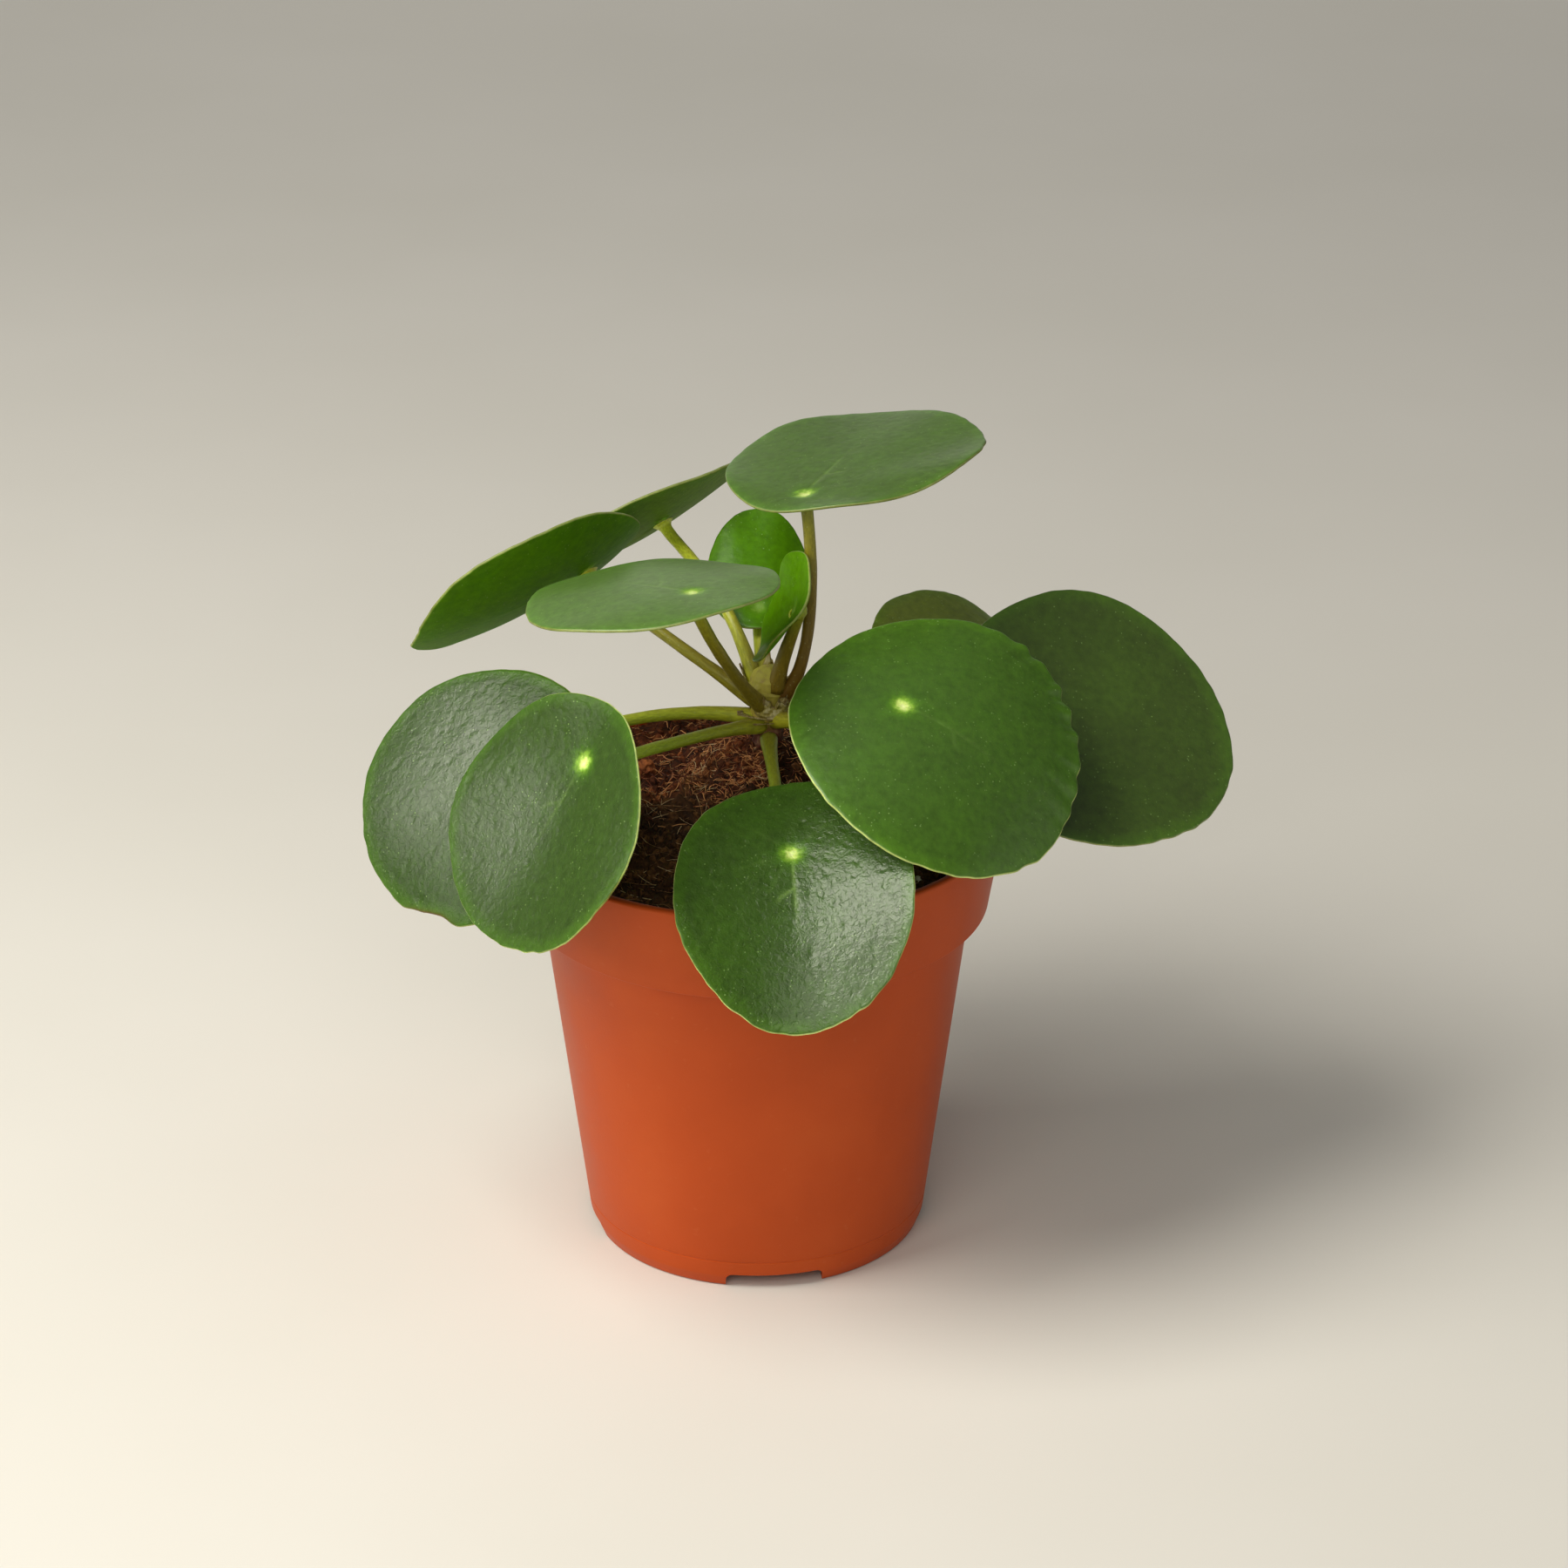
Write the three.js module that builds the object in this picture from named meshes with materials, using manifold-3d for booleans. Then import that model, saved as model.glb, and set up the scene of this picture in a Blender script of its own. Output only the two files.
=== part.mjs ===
// A potted pilea: a 12 cm nursery pot of peat, a rooted plug, a short stem and twelve round leaves.
// Millimetres, +Z up. Everything is laid out from the pot's axis, with Z = 0 under its foot ring
// and the viewer looking along +Y. The last lines move the whole so that its box stands on the
// origin.

import * as THREE from "three";
import { mergeVertices } from "three/addons/utils/BufferGeometryUtils.js";
import Module from "manifold-3d";

const wasm = await Module();
wasm.setup();

const GAP = 0.3; // clearance between two pieces that touch

// Pot: thin moulded polypropylene, with a stepped-out collar and a notched foot ring.
const POT = {
  height: 109,
  rimRadius: 60,
  lip: 2,
  collarFoot: 86,
  collarRadius: 56.1,
  wallTopRadius: 51.9,
  footRadius: 40.1,
  footHeight: 3,
  wallFootRadius: 41.3,
  wall: 1.5,
  floorUnder: 3.9,
  floorTop: 5.7,
  sides: 64,
};
const NOTCH = { count: 4, wide: 23.5, tall: 3.6, corner: 1.6, first: -84, innerRadius: 32 };
const DRAIN = { wide: 13, innerRadius: 31.5, outerRadius: 36 };

// Peat, plug and stem. The plant stands a little behind the middle of the pot.
const SOIL = { level: 104.8, rise: 4.6, spread: 34, lump: 0.55, rings: 7, sides: 44 };
const PLUG = { radius: 22, footRadius: 17, bottom: 66, edge: 108.9, crown: 117.6, lump: 0.5 };
const STEM = {
  x: 3,
  y: 18,
  bottom: 104,
  top: 138.4,
  neck: 3.4,
  crown: 4.6,
  sides: 16,
};
const STIPULES = [
  { heading: 172, height: 131.5, wide: 6.5, long: 11, lean: 24 },
  { heading: 84, height: 132.5, wide: 8, long: 13, lean: 6 },
  { heading: -42, height: 128.5, wide: 6, long: 8.5, lean: 14 },
  { heading: -104, height: 126.5, wide: 8, long: 9, lean: 12 },
];
const STIPULE_THICK = 0.8;

// Leaves. hub is where the petiole joins the blade, facing and tilt turn the blade's upper side
// (degrees round from +X, and from straight up), turn swings the tip from the downhill line,
// hubShare is the hub's place between base and tip, and dropAcross and dropAlong say how far the
// sides and the ends fall below the middle, as a share of half the width.
// stalk: start height on the stem, heading and rise of its first run, and its two handle shares.
const BLADE_THICK = 0.8;
const BLADE_RINGS = 4;
const BLADE_SIDES = 28;
const BLADE_WAVE = 0.45;
const PETIOLE_RADIUS = 1.5;
const PETIOLE_SIDES = 8;
const PETIOLE_STEPS = 10;
const LEAVES = [
  { name: "top", hub: [11.7, 16, 183.8], facing: 175, tilt: 9, turn: -117, wide: 63, long: 63,
    hubShare: 0.15, dropAcross: 0.01, dropAlong: 0.02, taper: 0.06,
    stalk: { height: 131, heading: -31, rise: 45, first: 0.3, last: 0.17 } },
  { name: "back_left", hub: [-23.5, 66, 157.2], facing: 136, tilt: 40, turn: 4, wide: 61, long: 60,
    hubShare: 0.38, dropAcross: -0.14, dropAlong: -0.09, taper: 0.06,
    stalk: { height: 132.5, heading: 142, rise: 70, first: 0.5, last: 0.15 } },
  { name: "high_left", hub: [-41.4, 42, 153.9], facing: 133, tilt: 45, turn: 67, wide: 65, long: 63,
    hubShare: 0.26, dropAcross: -0.18, dropAlong: -0.12, taper: 0.06,
    stalk: { height: 129.5, heading: 171, rise: 36, first: 0.37, last: 0.1 } },
  { name: "mid_left", hub: [-14.8, -23, 175], facing: 128, tilt: 10, turn: 7, wide: 60, long: 59.5,
    hubShare: 0.29, dropAcross: 0.11, dropAlong: 0.05, taper: 0.06,
    stalk: { height: 129.5, heading: -119, rise: 42, first: 0.32, last: 0.08 } },
  { name: "young_open", hub: [0.6, 36, 146.2], facing: -89, tilt: 33, turn: 179, wide: 25.5, long: 36,
    hubShare: 0.19, dropAcross: 0.19, dropAlong: -0.05, taper: -0.05,
    stalk: { height: 135, heading: 100, rise: 16, first: 0.44, last: 0.24 } },
  { name: "young_folded", hub: [9, 7, 157.6], facing: -176, tilt: 64, turn: -41, wide: 28, long: 30,
    hubShare: 0.4, dropAcross: -0.3, dropAlong: -0.08, taper: -0.15,
    stalk: { height: 134.5, heading: -57, rise: 78, first: 0.37, last: 0.05 } },
  { name: "right_front", hub: [34.3, -27, 148], facing: -59, tilt: 33, turn: 36, wide: 74.4, long: 70.3,
    hubShare: 0.34, dropAcross: 0.11, dropAlong: 0.3, taper: 0.06,
    stalk: { height: 125.5, heading: -56, rise: 20, first: 0.35, last: 0.25 } },
  { name: "right_back", hub: [79.8, 18, 131.7], facing: -64, tilt: 37, turn: -15, wide: 73, long: 71,
    hubShare: 0.38, dropAcross: 0.08, dropAlong: -0.07, taper: 0.06,
    stalk: { height: 127, heading: -14, rise: 10, first: 0.35, last: 0.25 } },
  { name: "small_back", hub: [42.9, 42, 129.5], facing: -49, tilt: 25, turn: 92, wide: 43, long: 42.5,
    hubShare: 0.31, dropAcross: 0.06, dropAlong: 0.13, taper: 0.06,
    stalk: { height: 130, heading: 25, rise: 5, first: 0.35, last: 0.25 } },
  { name: "front", hub: [8.2, -48, 120.4], facing: -97, tilt: 35, turn: 9, wide: 55.5, long: 67,
    hubShare: 0.34, dropAcross: -0.12, dropAlong: 0.26, taper: 0.06,
    stalk: { height: 120.5, heading: -88, rise: -4, first: 0.35, last: 0.25 } },
  { name: "left_front", hub: [-40.4, -42, 140.8], facing: -142, tilt: 59, turn: -6, wide: 62.6, long: 61.4,
    hubShare: 0.24, dropAcross: -0.01, dropAlong: 0.07, taper: 0.06,
    stalk: { height: 124, heading: -128, rise: 16, first: 0.37, last: 0.06 } },
  { name: "left_back", hub: [-54.1, -14, 131.7], facing: -126, tilt: 50, turn: -31, wide: 64, long: 64.6,
    hubShare: 0.25, dropAcross: 0.06, dropAlong: 0.13, taper: 0.06,
    stalk: { height: 125.5, heading: -175, rise: 12, first: 0.5, last: 0.07 } },
];

const COLOURS = {
  pot: { color: "#b8552c", roughness: 0.5 },
  soil: { color: "#2a1c11", roughness: 1 },
  plug: { color: "#5b3520", roughness: 1 },
  stem: { color: "#6f5a2c", roughness: 0.7 },
  petiole: { color: "#7c8030", roughness: 0.45 },
  blade: { color: "#44692a", roughness: 0.35 },
  youngBlade: { color: "#5b9a16", roughness: 0.35 },
};

const degrees = THREE.MathUtils.degToRad;

function material(look) {
  return new THREE.MeshStandardMaterial({ ...look, metalness: 0 });
}

// A draw from -1 to 1 that depends only on its number.
function draw(number) {
  const wave = Math.sin(number * 12.9898) * 43758.5453;
  return 2 * (wave - Math.floor(wave)) - 1;
}

// ---- Solids: a closed geometry as a manifold-3d solid, and back ----

function solid(geometry) {
  const bare = geometry.clone();
  bare.deleteAttribute("normal");
  bare.deleteAttribute("uv");
  const merged = mergeVertices(bare, 1e-3);
  return new wasm.Manifold(
    new wasm.Mesh({
      numProp: 3,
      vertProperties: new Float32Array(merged.attributes.position.array),
      triVerts: new Uint32Array(merged.index.array),
    }),
  );
}

function geometryOf(shape) {
  const mesh = shape.getMesh();
  const geometry = new THREE.BufferGeometry();
  geometry.setAttribute("position", new THREE.BufferAttribute(mesh.vertProperties, 3));
  geometry.setIndex(new THREE.BufferAttribute(mesh.triVerts, 1));
  geometry.computeVertexNormals();
  return geometry;
}

// The largest of a solid's separate bodies: scraps that a cut leaves are dropped.
function largest(shape) {
  const bodies = shape.decompose();
  return bodies.reduce((a, b) => (a.volume() > b.volume() ? a : b));
}

// A Lathe about +Z from [radius, height] pairs that run up the outside and down the inside.
function turned(profile, sides) {
  const points = profile.map(([radius, height]) => new THREE.Vector2(radius, height));
  return new THREE.LatheGeometry(points, sides).rotateX(Math.PI / 2);
}

// ---- Pot ----

// Radius of the wall's outer face at a height below the collar.
function wallRadius(height) {
  const share = (height - POT.footHeight) / (POT.collarFoot - POT.footHeight);
  return THREE.MathUtils.lerp(POT.wallFootRadius, POT.wallTopRadius, share);
}

// Radius of the collar's outer face at a height.
function collarRadius(height) {
  const share = (height - POT.collarFoot) / (POT.height - POT.collarFoot);
  return THREE.MathUtils.lerp(POT.collarRadius, POT.rimRadius, share);
}

function potProfile() {
  const { height, lip, wall, collarFoot, footRadius, floorUnder, floorTop } = POT;
  const shelf = collarFoot + wall;
  return [
    [0, floorUnder],
    [footRadius - 2, floorUnder],
    [footRadius - 2, 0],
    [footRadius, 0],
    [wallRadius(POT.footHeight), POT.footHeight],
    [wallRadius(collarFoot), collarFoot],
    [POT.collarRadius - 0.4, collarFoot],
    [POT.collarRadius, collarFoot + 0.5],
    [collarRadius(height - 0.6), height - 0.6],
    [POT.rimRadius - 0.5, height],
    [POT.rimRadius - lip, height],
    [collarRadius(height - 2.5) - lip, height - 2.5],
    [collarRadius(shelf) - wall, shelf],
    [wallRadius(collarFoot) - wall, shelf],
    [wallRadius(floorTop) - wall, floorTop],
    [0, floorTop],
  ];
}

// A bar with rounded upper corners, lying along +X from one radius to another, for the notches.
function roundedBar(wide, low, high, corner, from, to) {
  const half = wide / 2;
  const outline = new THREE.Shape();
  outline.moveTo(-half, low);
  outline.lineTo(half, low);
  outline.lineTo(half, high - corner);
  outline.absarc(half - corner, high - corner, corner, 0, Math.PI / 2);
  outline.absarc(corner - half, high - corner, corner, Math.PI / 2, Math.PI);
  const bar = new THREE.ExtrudeGeometry(outline, {
    depth: to - from,
    bevelEnabled: false,
    curveSegments: 4,
  });
  // The outline's x and y become +Y and +Z, and its depth runs along +X.
  const axes = new THREE.Matrix4().makeBasis(
    new THREE.Vector3(0, 1, 0),
    new THREE.Vector3(0, 0, 1),
    new THREE.Vector3(1, 0, 0),
  );
  return bar.applyMatrix4(axes).translate(from, 0, 0);
}

// The notch in the foot ring, and the drain slot through the floor behind it.
function drainCut(angle) {
  const notch = roundedBar(NOTCH.wide, -1, NOTCH.tall, NOTCH.corner, NOTCH.innerRadius, 46);
  const slot = roundedBar(
    DRAIN.wide,
    1,
    POT.floorTop + 1,
    0.5,
    DRAIN.innerRadius,
    DRAIN.outerRadius,
  );
  return solid(notch.rotateZ(angle)).add(solid(slot.rotateZ(angle)));
}

function potGeometry() {
  let pot = solid(turned(potProfile(), POT.sides));
  for (let i = 0; i < NOTCH.count; i++) {
    const angle = degrees(NOTCH.first + (360 / NOTCH.count) * i);
    pot = pot.subtract(drainCut(angle));
  }
  return geometryOf(pot);
}

// ---- Peat and plug ----

// A closed body of revolution with an uneven top: rings of points from the middle of the top to
// its edge, then down the side through [radius, height] pairs to the middle of the bottom.
function moundGeometry(topHeight, edgeRadius, rings, sides, side) {
  const points = [0, 0, topHeight(0, 0)];
  for (let ring = 1; ring <= rings; ring++) {
    for (let i = 0; i < sides; i++) {
      const angle = (2 * Math.PI * i) / sides;
      const radius = (edgeRadius * ring) / rings;
      const x = radius * Math.cos(angle);
      const y = radius * Math.sin(angle);
      points.push(x, y, topHeight(x, y));
    }
  }
  for (const [radius, height] of side) {
    for (let i = 0; i < sides; i++) {
      const angle = (2 * Math.PI * i) / sides;
      points.push(radius * Math.cos(angle), radius * Math.sin(angle), height);
    }
  }
  points.push(0, 0, side.at(-1)[1]);
  return ringGeometry(points, rings + side.length, sides);
}

// Joins a first point, rings of points and a last point into one closed surface.
function ringGeometry(points, rings, sides) {
  const faces = [];
  const at = (ring, i) => 1 + (ring - 1) * sides + (i % sides);
  const last = 1 + rings * sides;
  for (let i = 0; i < sides; i++) {
    faces.push(0, at(1, i), at(1, i + 1));
    for (let ring = 1; ring < rings; ring++) {
      faces.push(at(ring, i), at(ring + 1, i), at(ring + 1, i + 1));
      faces.push(at(ring, i), at(ring + 1, i + 1), at(ring, i + 1));
    }
    faces.push(at(rings, i), last, at(rings, i + 1));
  }
  const geometry = new THREE.BufferGeometry();
  geometry.setAttribute("position", new THREE.Float32BufferAttribute(points, 3));
  geometry.setIndex(faces);
  geometry.computeVertexNormals();
  return geometry;
}

// Uneven ground: three crossed swells, as deep as size.
function lumps(x, y, size) {
  const swell = Math.sin(0.31 * x + 1.3) * Math.cos(0.27 * y - 0.4);
  const knobs = Math.sin(0.53 * x - 0.38 * y) + Math.sin(0.22 * x + 0.61 * y + 2);
  return size * (0.6 * swell + 0.4 * knobs);
}

function soilTop(x, y) {
  const away = Math.hypot(x - STEM.x, y - STEM.y) / SOIL.spread;
  return SOIL.level + SOIL.rise * Math.exp(-away * away) + lumps(x, y, SOIL.lump);
}

// The plug's side, as [radius, height] pairs from its shoulder to its foot.
function plugSide(extra) {
  return [
    [PLUG.radius + extra, PLUG.edge - 4],
    [PLUG.footRadius + extra, PLUG.bottom - extra],
  ];
}

function plugGeometry() {
  const top = (x, y) => {
    const share = Math.hypot(x, y) / PLUG.radius;
    const height = THREE.MathUtils.lerp(PLUG.crown, PLUG.edge, Math.pow(share, 1.5));
    return height + lumps(x + 9, y - 5, PLUG.lump);
  };
  const body = solid(moundGeometry(top, PLUG.radius, 5, 32, plugSide(0)));
  return geometryOf(body.subtract(solid(stemHole())));
}

// The hole that the stem stands in: its buried neck, a gap wider.
function stemHole() {
  const radius = STEM.neck + GAP;
  const profile = [
    [0, STEM.bottom - GAP],
    [radius, STEM.bottom - GAP],
    [radius, PLUG.crown + 4],
    [0, PLUG.crown + 4],
  ];
  return turned(profile, STEM.sides);
}

function soilGeometry() {
  const floor = POT.floorTop + GAP;
  const shelf = POT.collarFoot + POT.wall + GAP;
  const inset = POT.wall + GAP + 0.1;
  const side = [
    [collarRadius(shelf) - inset - 0.3, shelf],
    [wallRadius(POT.collarFoot) - inset, shelf],
    [wallRadius(floor) - inset, floor],
  ];
  const edge = collarRadius(SOIL.level) - POT.lip - GAP - 0.4;
  const body = solid(moundGeometry(soilTop, edge, SOIL.rings, SOIL.sides, side));
  const [shoulder, foot] = plugSide(GAP);
  const hole = turned([[0, foot[1]], foot, shoulder, [shoulder[0], 125], [0, 125]], 32);
  return geometryOf(body.subtract(solid(hole.translate(STEM.x, STEM.y, 0))));
}

// ---- Leaves ----

// The blade's own axes: right across it, tip along it and up out of its upper side.
function bladeAxes({ facing, tilt, turn }) {
  const round = degrees(facing);
  const lean = degrees(tilt);
  const up = new THREE.Vector3(
    Math.sin(lean) * Math.cos(round),
    Math.sin(lean) * Math.sin(round),
    Math.cos(lean),
  );
  const downhill = new THREE.Vector3(
    Math.cos(lean) * Math.cos(round),
    Math.cos(lean) * Math.sin(round),
    -Math.sin(lean),
  );
  const tip = downhill.clone().applyAxisAngle(up, degrees(turn));
  const right = tip.clone().cross(up);
  return { right, tip, up };
}

// Height of the blade's surface over its hub's plane, at a place across and along it.
function bladeHeight(leaf, across, along) {
  const half = leaf.wide / 2;
  const side = across / half;
  const end = along / (leaf.long / 2);
  return -half * (leaf.dropAcross * side * side + leaf.dropAlong * end * end);
}

// A point of the blade: share runs from the hub to the edge, angle round from the tip.
function bladePoint(leaf, share, angle) {
  const hubAlong = (leaf.hubShare - 0.5) * leaf.long;
  const across = share * (leaf.wide / 2) * Math.sin(angle) * (1 + leaf.taper * Math.cos(angle));
  const along = hubAlong + share * ((leaf.long / 2) * Math.cos(angle) - hubAlong);
  const wave = leaf.wave * Math.pow(share, 3) * Math.sin(5 * angle + leaf.phase);
  const height = bladeHeight(leaf, across, along) - bladeHeight(leaf, 0, hubAlong) + wave;
  return [across, along - hubAlong, height];
}

// A thin closed sheet: rings out over the upper side, over the edge and back under to the hub,
// split into the same triangles on both sides.
function sheetGeometry(leaf, thick, rings, sides) {
  const upper = [];
  const under = [];
  for (let ring = 0; ring <= rings; ring++) {
    for (let i = 0; i < (ring ? sides : 1); i++) {
      const angle = (2 * Math.PI * i) / sides;
      const [x, y, z] = bladePoint(leaf, ring / rings, angle);
      upper.push([x, y, z + thick / 2]);
      under.push([x, y, z - thick / 2]);
    }
  }
  const count = upper.length;
  const faces = [];
  const at = (ring, i) => (ring ? 1 + (ring - 1) * sides + (i % sides) : 0);
  const both = (a, b, c) => faces.push(a, b, c, count + a, count + c, count + b);
  for (let i = 0; i < sides; i++) {
    both(at(0, 0), at(1, i + 1), at(1, i));
    for (let ring = 1; ring < rings; ring++) {
      both(at(ring, i), at(ring + 1, i + 1), at(ring + 1, i));
      both(at(ring, i), at(ring, i + 1), at(ring + 1, i + 1));
    }
    const [a, b] = [at(rings, i), at(rings, i + 1)];
    faces.push(a, b, count + b, a, count + b, count + a);
  }
  const geometry = new THREE.BufferGeometry();
  geometry.setAttribute(
    "position",
    new THREE.Float32BufferAttribute([...upper, ...under].flat(), 3),
  );
  geometry.setIndex(faces);
  return geometry;
}

// Sets a sheet drawn in its own axes on its place.
function placed(geometry, axes, origin) {
  const frame = new THREE.Matrix4().makeBasis(axes.right, axes.tip, axes.up);
  frame.setPosition(...origin);
  geometry.applyMatrix4(frame);
  geometry.computeVertexNormals();
  return geometry;
}

function bladeGeometry(leaf) {
  const sheet = sheetGeometry(leaf, BLADE_THICK, BLADE_RINGS, BLADE_SIDES);
  return placed(sheet, bladeAxes(leaf), leaf.hub);
}

// The petiole's middle line: out of the stem at its heading and rise, and up into the hub from
// under the blade.
function petioleCurve(leaf) {
  const { height, heading, rise, first, last } = leaf.stalk;
  const out = new THREE.Vector3(Math.cos(degrees(heading)), Math.sin(degrees(heading)), 0);
  const start = new THREE.Vector3(STEM.x, STEM.y, height).addScaledVector(out, 3.8);
  const { up } = bladeAxes(leaf);
  const backOff = BLADE_THICK / 2 + GAP + 0.3;
  const end = new THREE.Vector3(...leaf.hub).addScaledVector(up, -backOff);
  const span = start.distanceTo(end);
  const away = out.multiplyScalar(Math.cos(degrees(rise)));
  away.z = Math.sin(degrees(rise));
  return new THREE.CubicBezierCurve3(
    start,
    start.clone().addScaledVector(away, first * span),
    end.clone().addScaledVector(up, -last * span),
    end,
  );
}

// A round stalk along the curve. extra makes it fatter, for the socket that it stands in.
function petioleGeometry(leaf, extra) {
  const radius = PETIOLE_RADIUS + extra;
  const section = new THREE.Shape();
  for (let i = 0; i < PETIOLE_SIDES; i++) {
    const angle = (2 * Math.PI * i) / PETIOLE_SIDES;
    const [x, y] = [radius * Math.cos(angle), radius * Math.sin(angle)];
    if (i) section.lineTo(x, y);
    else section.moveTo(x, y);
  }
  return new THREE.ExtrudeGeometry(section, {
    steps: PETIOLE_STEPS,
    extrudePath: petioleCurve(leaf),
  });
}

// ---- Stem ----

// The buried neck, the scarred trunk and the swollen crown that the petioles leave.
function stemProfile() {
  const { bottom, top, neck, crown } = STEM;
  const profile = [
    [0, bottom],
    [neck - 0.6, bottom],
    [neck, bottom + 1.5],
    [neck, PLUG.crown + 0.5],
  ];
  const scars = 4;
  const first = PLUG.crown + 1.5;
  const pitch = (top - 6 - first) / scars;
  for (let i = 0; i < scars; i++) {
    const girth = THREE.MathUtils.lerp(neck, crown, (i + 1) / scars);
    profile.push([girth + 0.35, first + pitch * i + 0.7]);
    profile.push([girth - 0.15, first + pitch * (i + 0.75)]);
  }
  profile.push([crown - 0.4, top - 5], [crown - 1.8, top - 2], [crown - 3.4, top - 0.4], [0, top]);
  return profile;
}

// A papery scale that hugs the crown: a short pointed blade that stands on the stem.
function stipuleGeometry({ heading, height, wide, long, lean }, number) {
  const scale = {
    facing: heading,
    tilt: 90 + lean,
    turn: 180,
    wide,
    long,
    hubShare: 0.1,
    dropAcross: 0.5,
    dropAlong: 0.12,
    taper: -0.75,
    wave: 0.2,
    phase: number,
  };
  const angle = degrees(heading);
  const seat = STEM.crown - 0.6;
  const origin = [seat * Math.cos(angle), seat * Math.sin(angle), height];
  return placed(sheetGeometry(scale, STIPULE_THICK, 2, 10), bladeAxes(scale), origin);
}

function stemGeometry() {
  let stem = solid(turned(stemProfile(), STEM.sides));
  STIPULES.forEach((stipule, i) => {
    stem = stem.add(solid(stipuleGeometry(stipule, i)));
  });
  stem = stem.translate([STEM.x, STEM.y, 0]);
  for (const leaf of LEAVES) {
    stem = stem.subtract(solid(petioleGeometry(leaf, GAP + 0.05)));
  }
  return geometryOf(largest(stem));
}

// ---- Assembly ----

const group = new THREE.Group();

function place(name, geometry, look) {
  const mesh = new THREE.Mesh(geometry, material(look));
  mesh.name = name;
  group.add(mesh);
  return mesh;
}

LEAVES.forEach((leaf, i) => {
  leaf.wave = BLADE_WAVE * (1 + 0.5 * draw(i + 1));
  leaf.phase = Math.PI * draw(i + 21);
});

place("pot", potGeometry(), COLOURS.pot);
place("soil", soilGeometry(), COLOURS.soil);
place("root_plug", plugGeometry(), COLOURS.plug).position.set(STEM.x, STEM.y, 0);
place("stem", stemGeometry(), COLOURS.stem);
for (const leaf of LEAVES) {
  const young = leaf.name.startsWith("young");
  place("petiole_" + leaf.name, petioleGeometry(leaf, 0), COLOURS.petiole);
  place("blade_" + leaf.name, bladeGeometry(leaf), young ? COLOURS.youngBlade : COLOURS.blade);
}

const box = new THREE.Box3().setFromObject(group);
const middle = box.getCenter(new THREE.Vector3());
group.position.set(-middle.x, -middle.y, -box.min.z);

export default group;
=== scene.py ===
import math

import bpy
import numpy as np
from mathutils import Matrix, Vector, noise


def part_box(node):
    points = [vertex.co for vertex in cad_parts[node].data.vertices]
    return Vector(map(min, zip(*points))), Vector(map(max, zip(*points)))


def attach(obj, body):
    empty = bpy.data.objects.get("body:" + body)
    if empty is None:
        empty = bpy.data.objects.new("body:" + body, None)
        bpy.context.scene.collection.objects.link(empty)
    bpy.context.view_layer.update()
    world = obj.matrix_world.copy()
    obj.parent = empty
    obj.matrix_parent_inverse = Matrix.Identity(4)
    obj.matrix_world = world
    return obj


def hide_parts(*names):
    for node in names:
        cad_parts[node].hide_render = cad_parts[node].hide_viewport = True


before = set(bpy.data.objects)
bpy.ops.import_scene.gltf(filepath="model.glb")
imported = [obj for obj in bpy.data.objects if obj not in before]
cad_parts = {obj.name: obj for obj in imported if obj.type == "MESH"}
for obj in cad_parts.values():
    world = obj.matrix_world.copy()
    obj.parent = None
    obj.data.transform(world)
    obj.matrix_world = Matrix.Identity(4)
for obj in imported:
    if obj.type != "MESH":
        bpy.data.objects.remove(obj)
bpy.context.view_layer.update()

# ---- The photographer's place ----
# The plant stands on a plain table and is seen from 1.3 m away through a long lens that looks
# down on it by 25 degrees. Lengths here are millimetres from the pot's axis at its foot.

MM = 0.001
SENSOR_WIDTH = 36
LENS = 121.98
LENS_PLACE = (0, -1154.5, 652.7)
AIM = (6.7, 0, 115.3)
NEAREST_SEEN = 50
pot_low, pot_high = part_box("pot")
FOOT = Vector(((pot_low.x + pot_high.x) / 2, (pot_low.y + pot_high.y) / 2, 0))


def place(x, y, z):
    """A place in metres, from millimetres off the pot's axis at its foot."""
    return FOOT + Vector((x, y, z)) * MM


camera_data = bpy.data.cameras.new("camera")
camera_data.sensor_width = SENSOR_WIDTH
camera_data.lens = LENS
camera_data.clip_start = NEAREST_SEEN * MM
camera = bpy.data.objects.new("camera", camera_data)
camera.location = place(*LENS_PLACE)
looking = place(*AIM) - camera.location
camera.rotation_euler = looking.to_track_quat("-Z", "Y").to_euler()
bpy.context.collection.objects.link(camera)
bpy.context.scene.camera = camera
bpy.context.scene.view_settings.view_transform = "Standard"


# ---- The nursery pot ----
# A 12 cm grower's pot, injection moulded in terracotta-coloured polypropylene: a thin tapered
# wall, a stepped-out collar that lets pots stack, and a foot ring with four drain notches.

POT_SIDES = 176
ROUNDING_STEPS = 4
LIP_MM = 2.0
WALL_MM = 1.5
FLOOR_UNDER = 3.9
FLOOR_TOP = 5.7
FOOT_INNER_RADIUS = 38.1
FOOT_RADIUS = 40.1
FOOT_TOP = 3
WALL_FOOT_RADIUS = 41.3
WALL_TOP_RADIUS = 51.9
WALL_MIDDLE = 45
COLLAR_FOOT = 86.0
COLLAR_SHELF = COLLAR_FOOT + WALL_MM
COLLAR_TOP = 109.0
COLLAR_RADIUS = 56.1
RIM_RADIUS = 60.0
MOULD_LINE = 7.2
MOULD_LINE_DEPTH = 0.16
MOULD_LINE_HALF = 0.3
SHARPEST_SMOOTH = 32
CORNER_STEPS = 5
NOTCH = {"count": 4, "wide": 23.5, "tall": 3.6, "corner": 1.6, "first": -84, "from": 32, "to": 46}
SLOT = {"wide": 13, "low": 1, "high": 7, "corner": 0.5, "from": 31.5, "to": 36}


def blend_of(low, high, share):
    """A value between two others, by its share of the way."""
    return low + (high - low) * share


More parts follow.
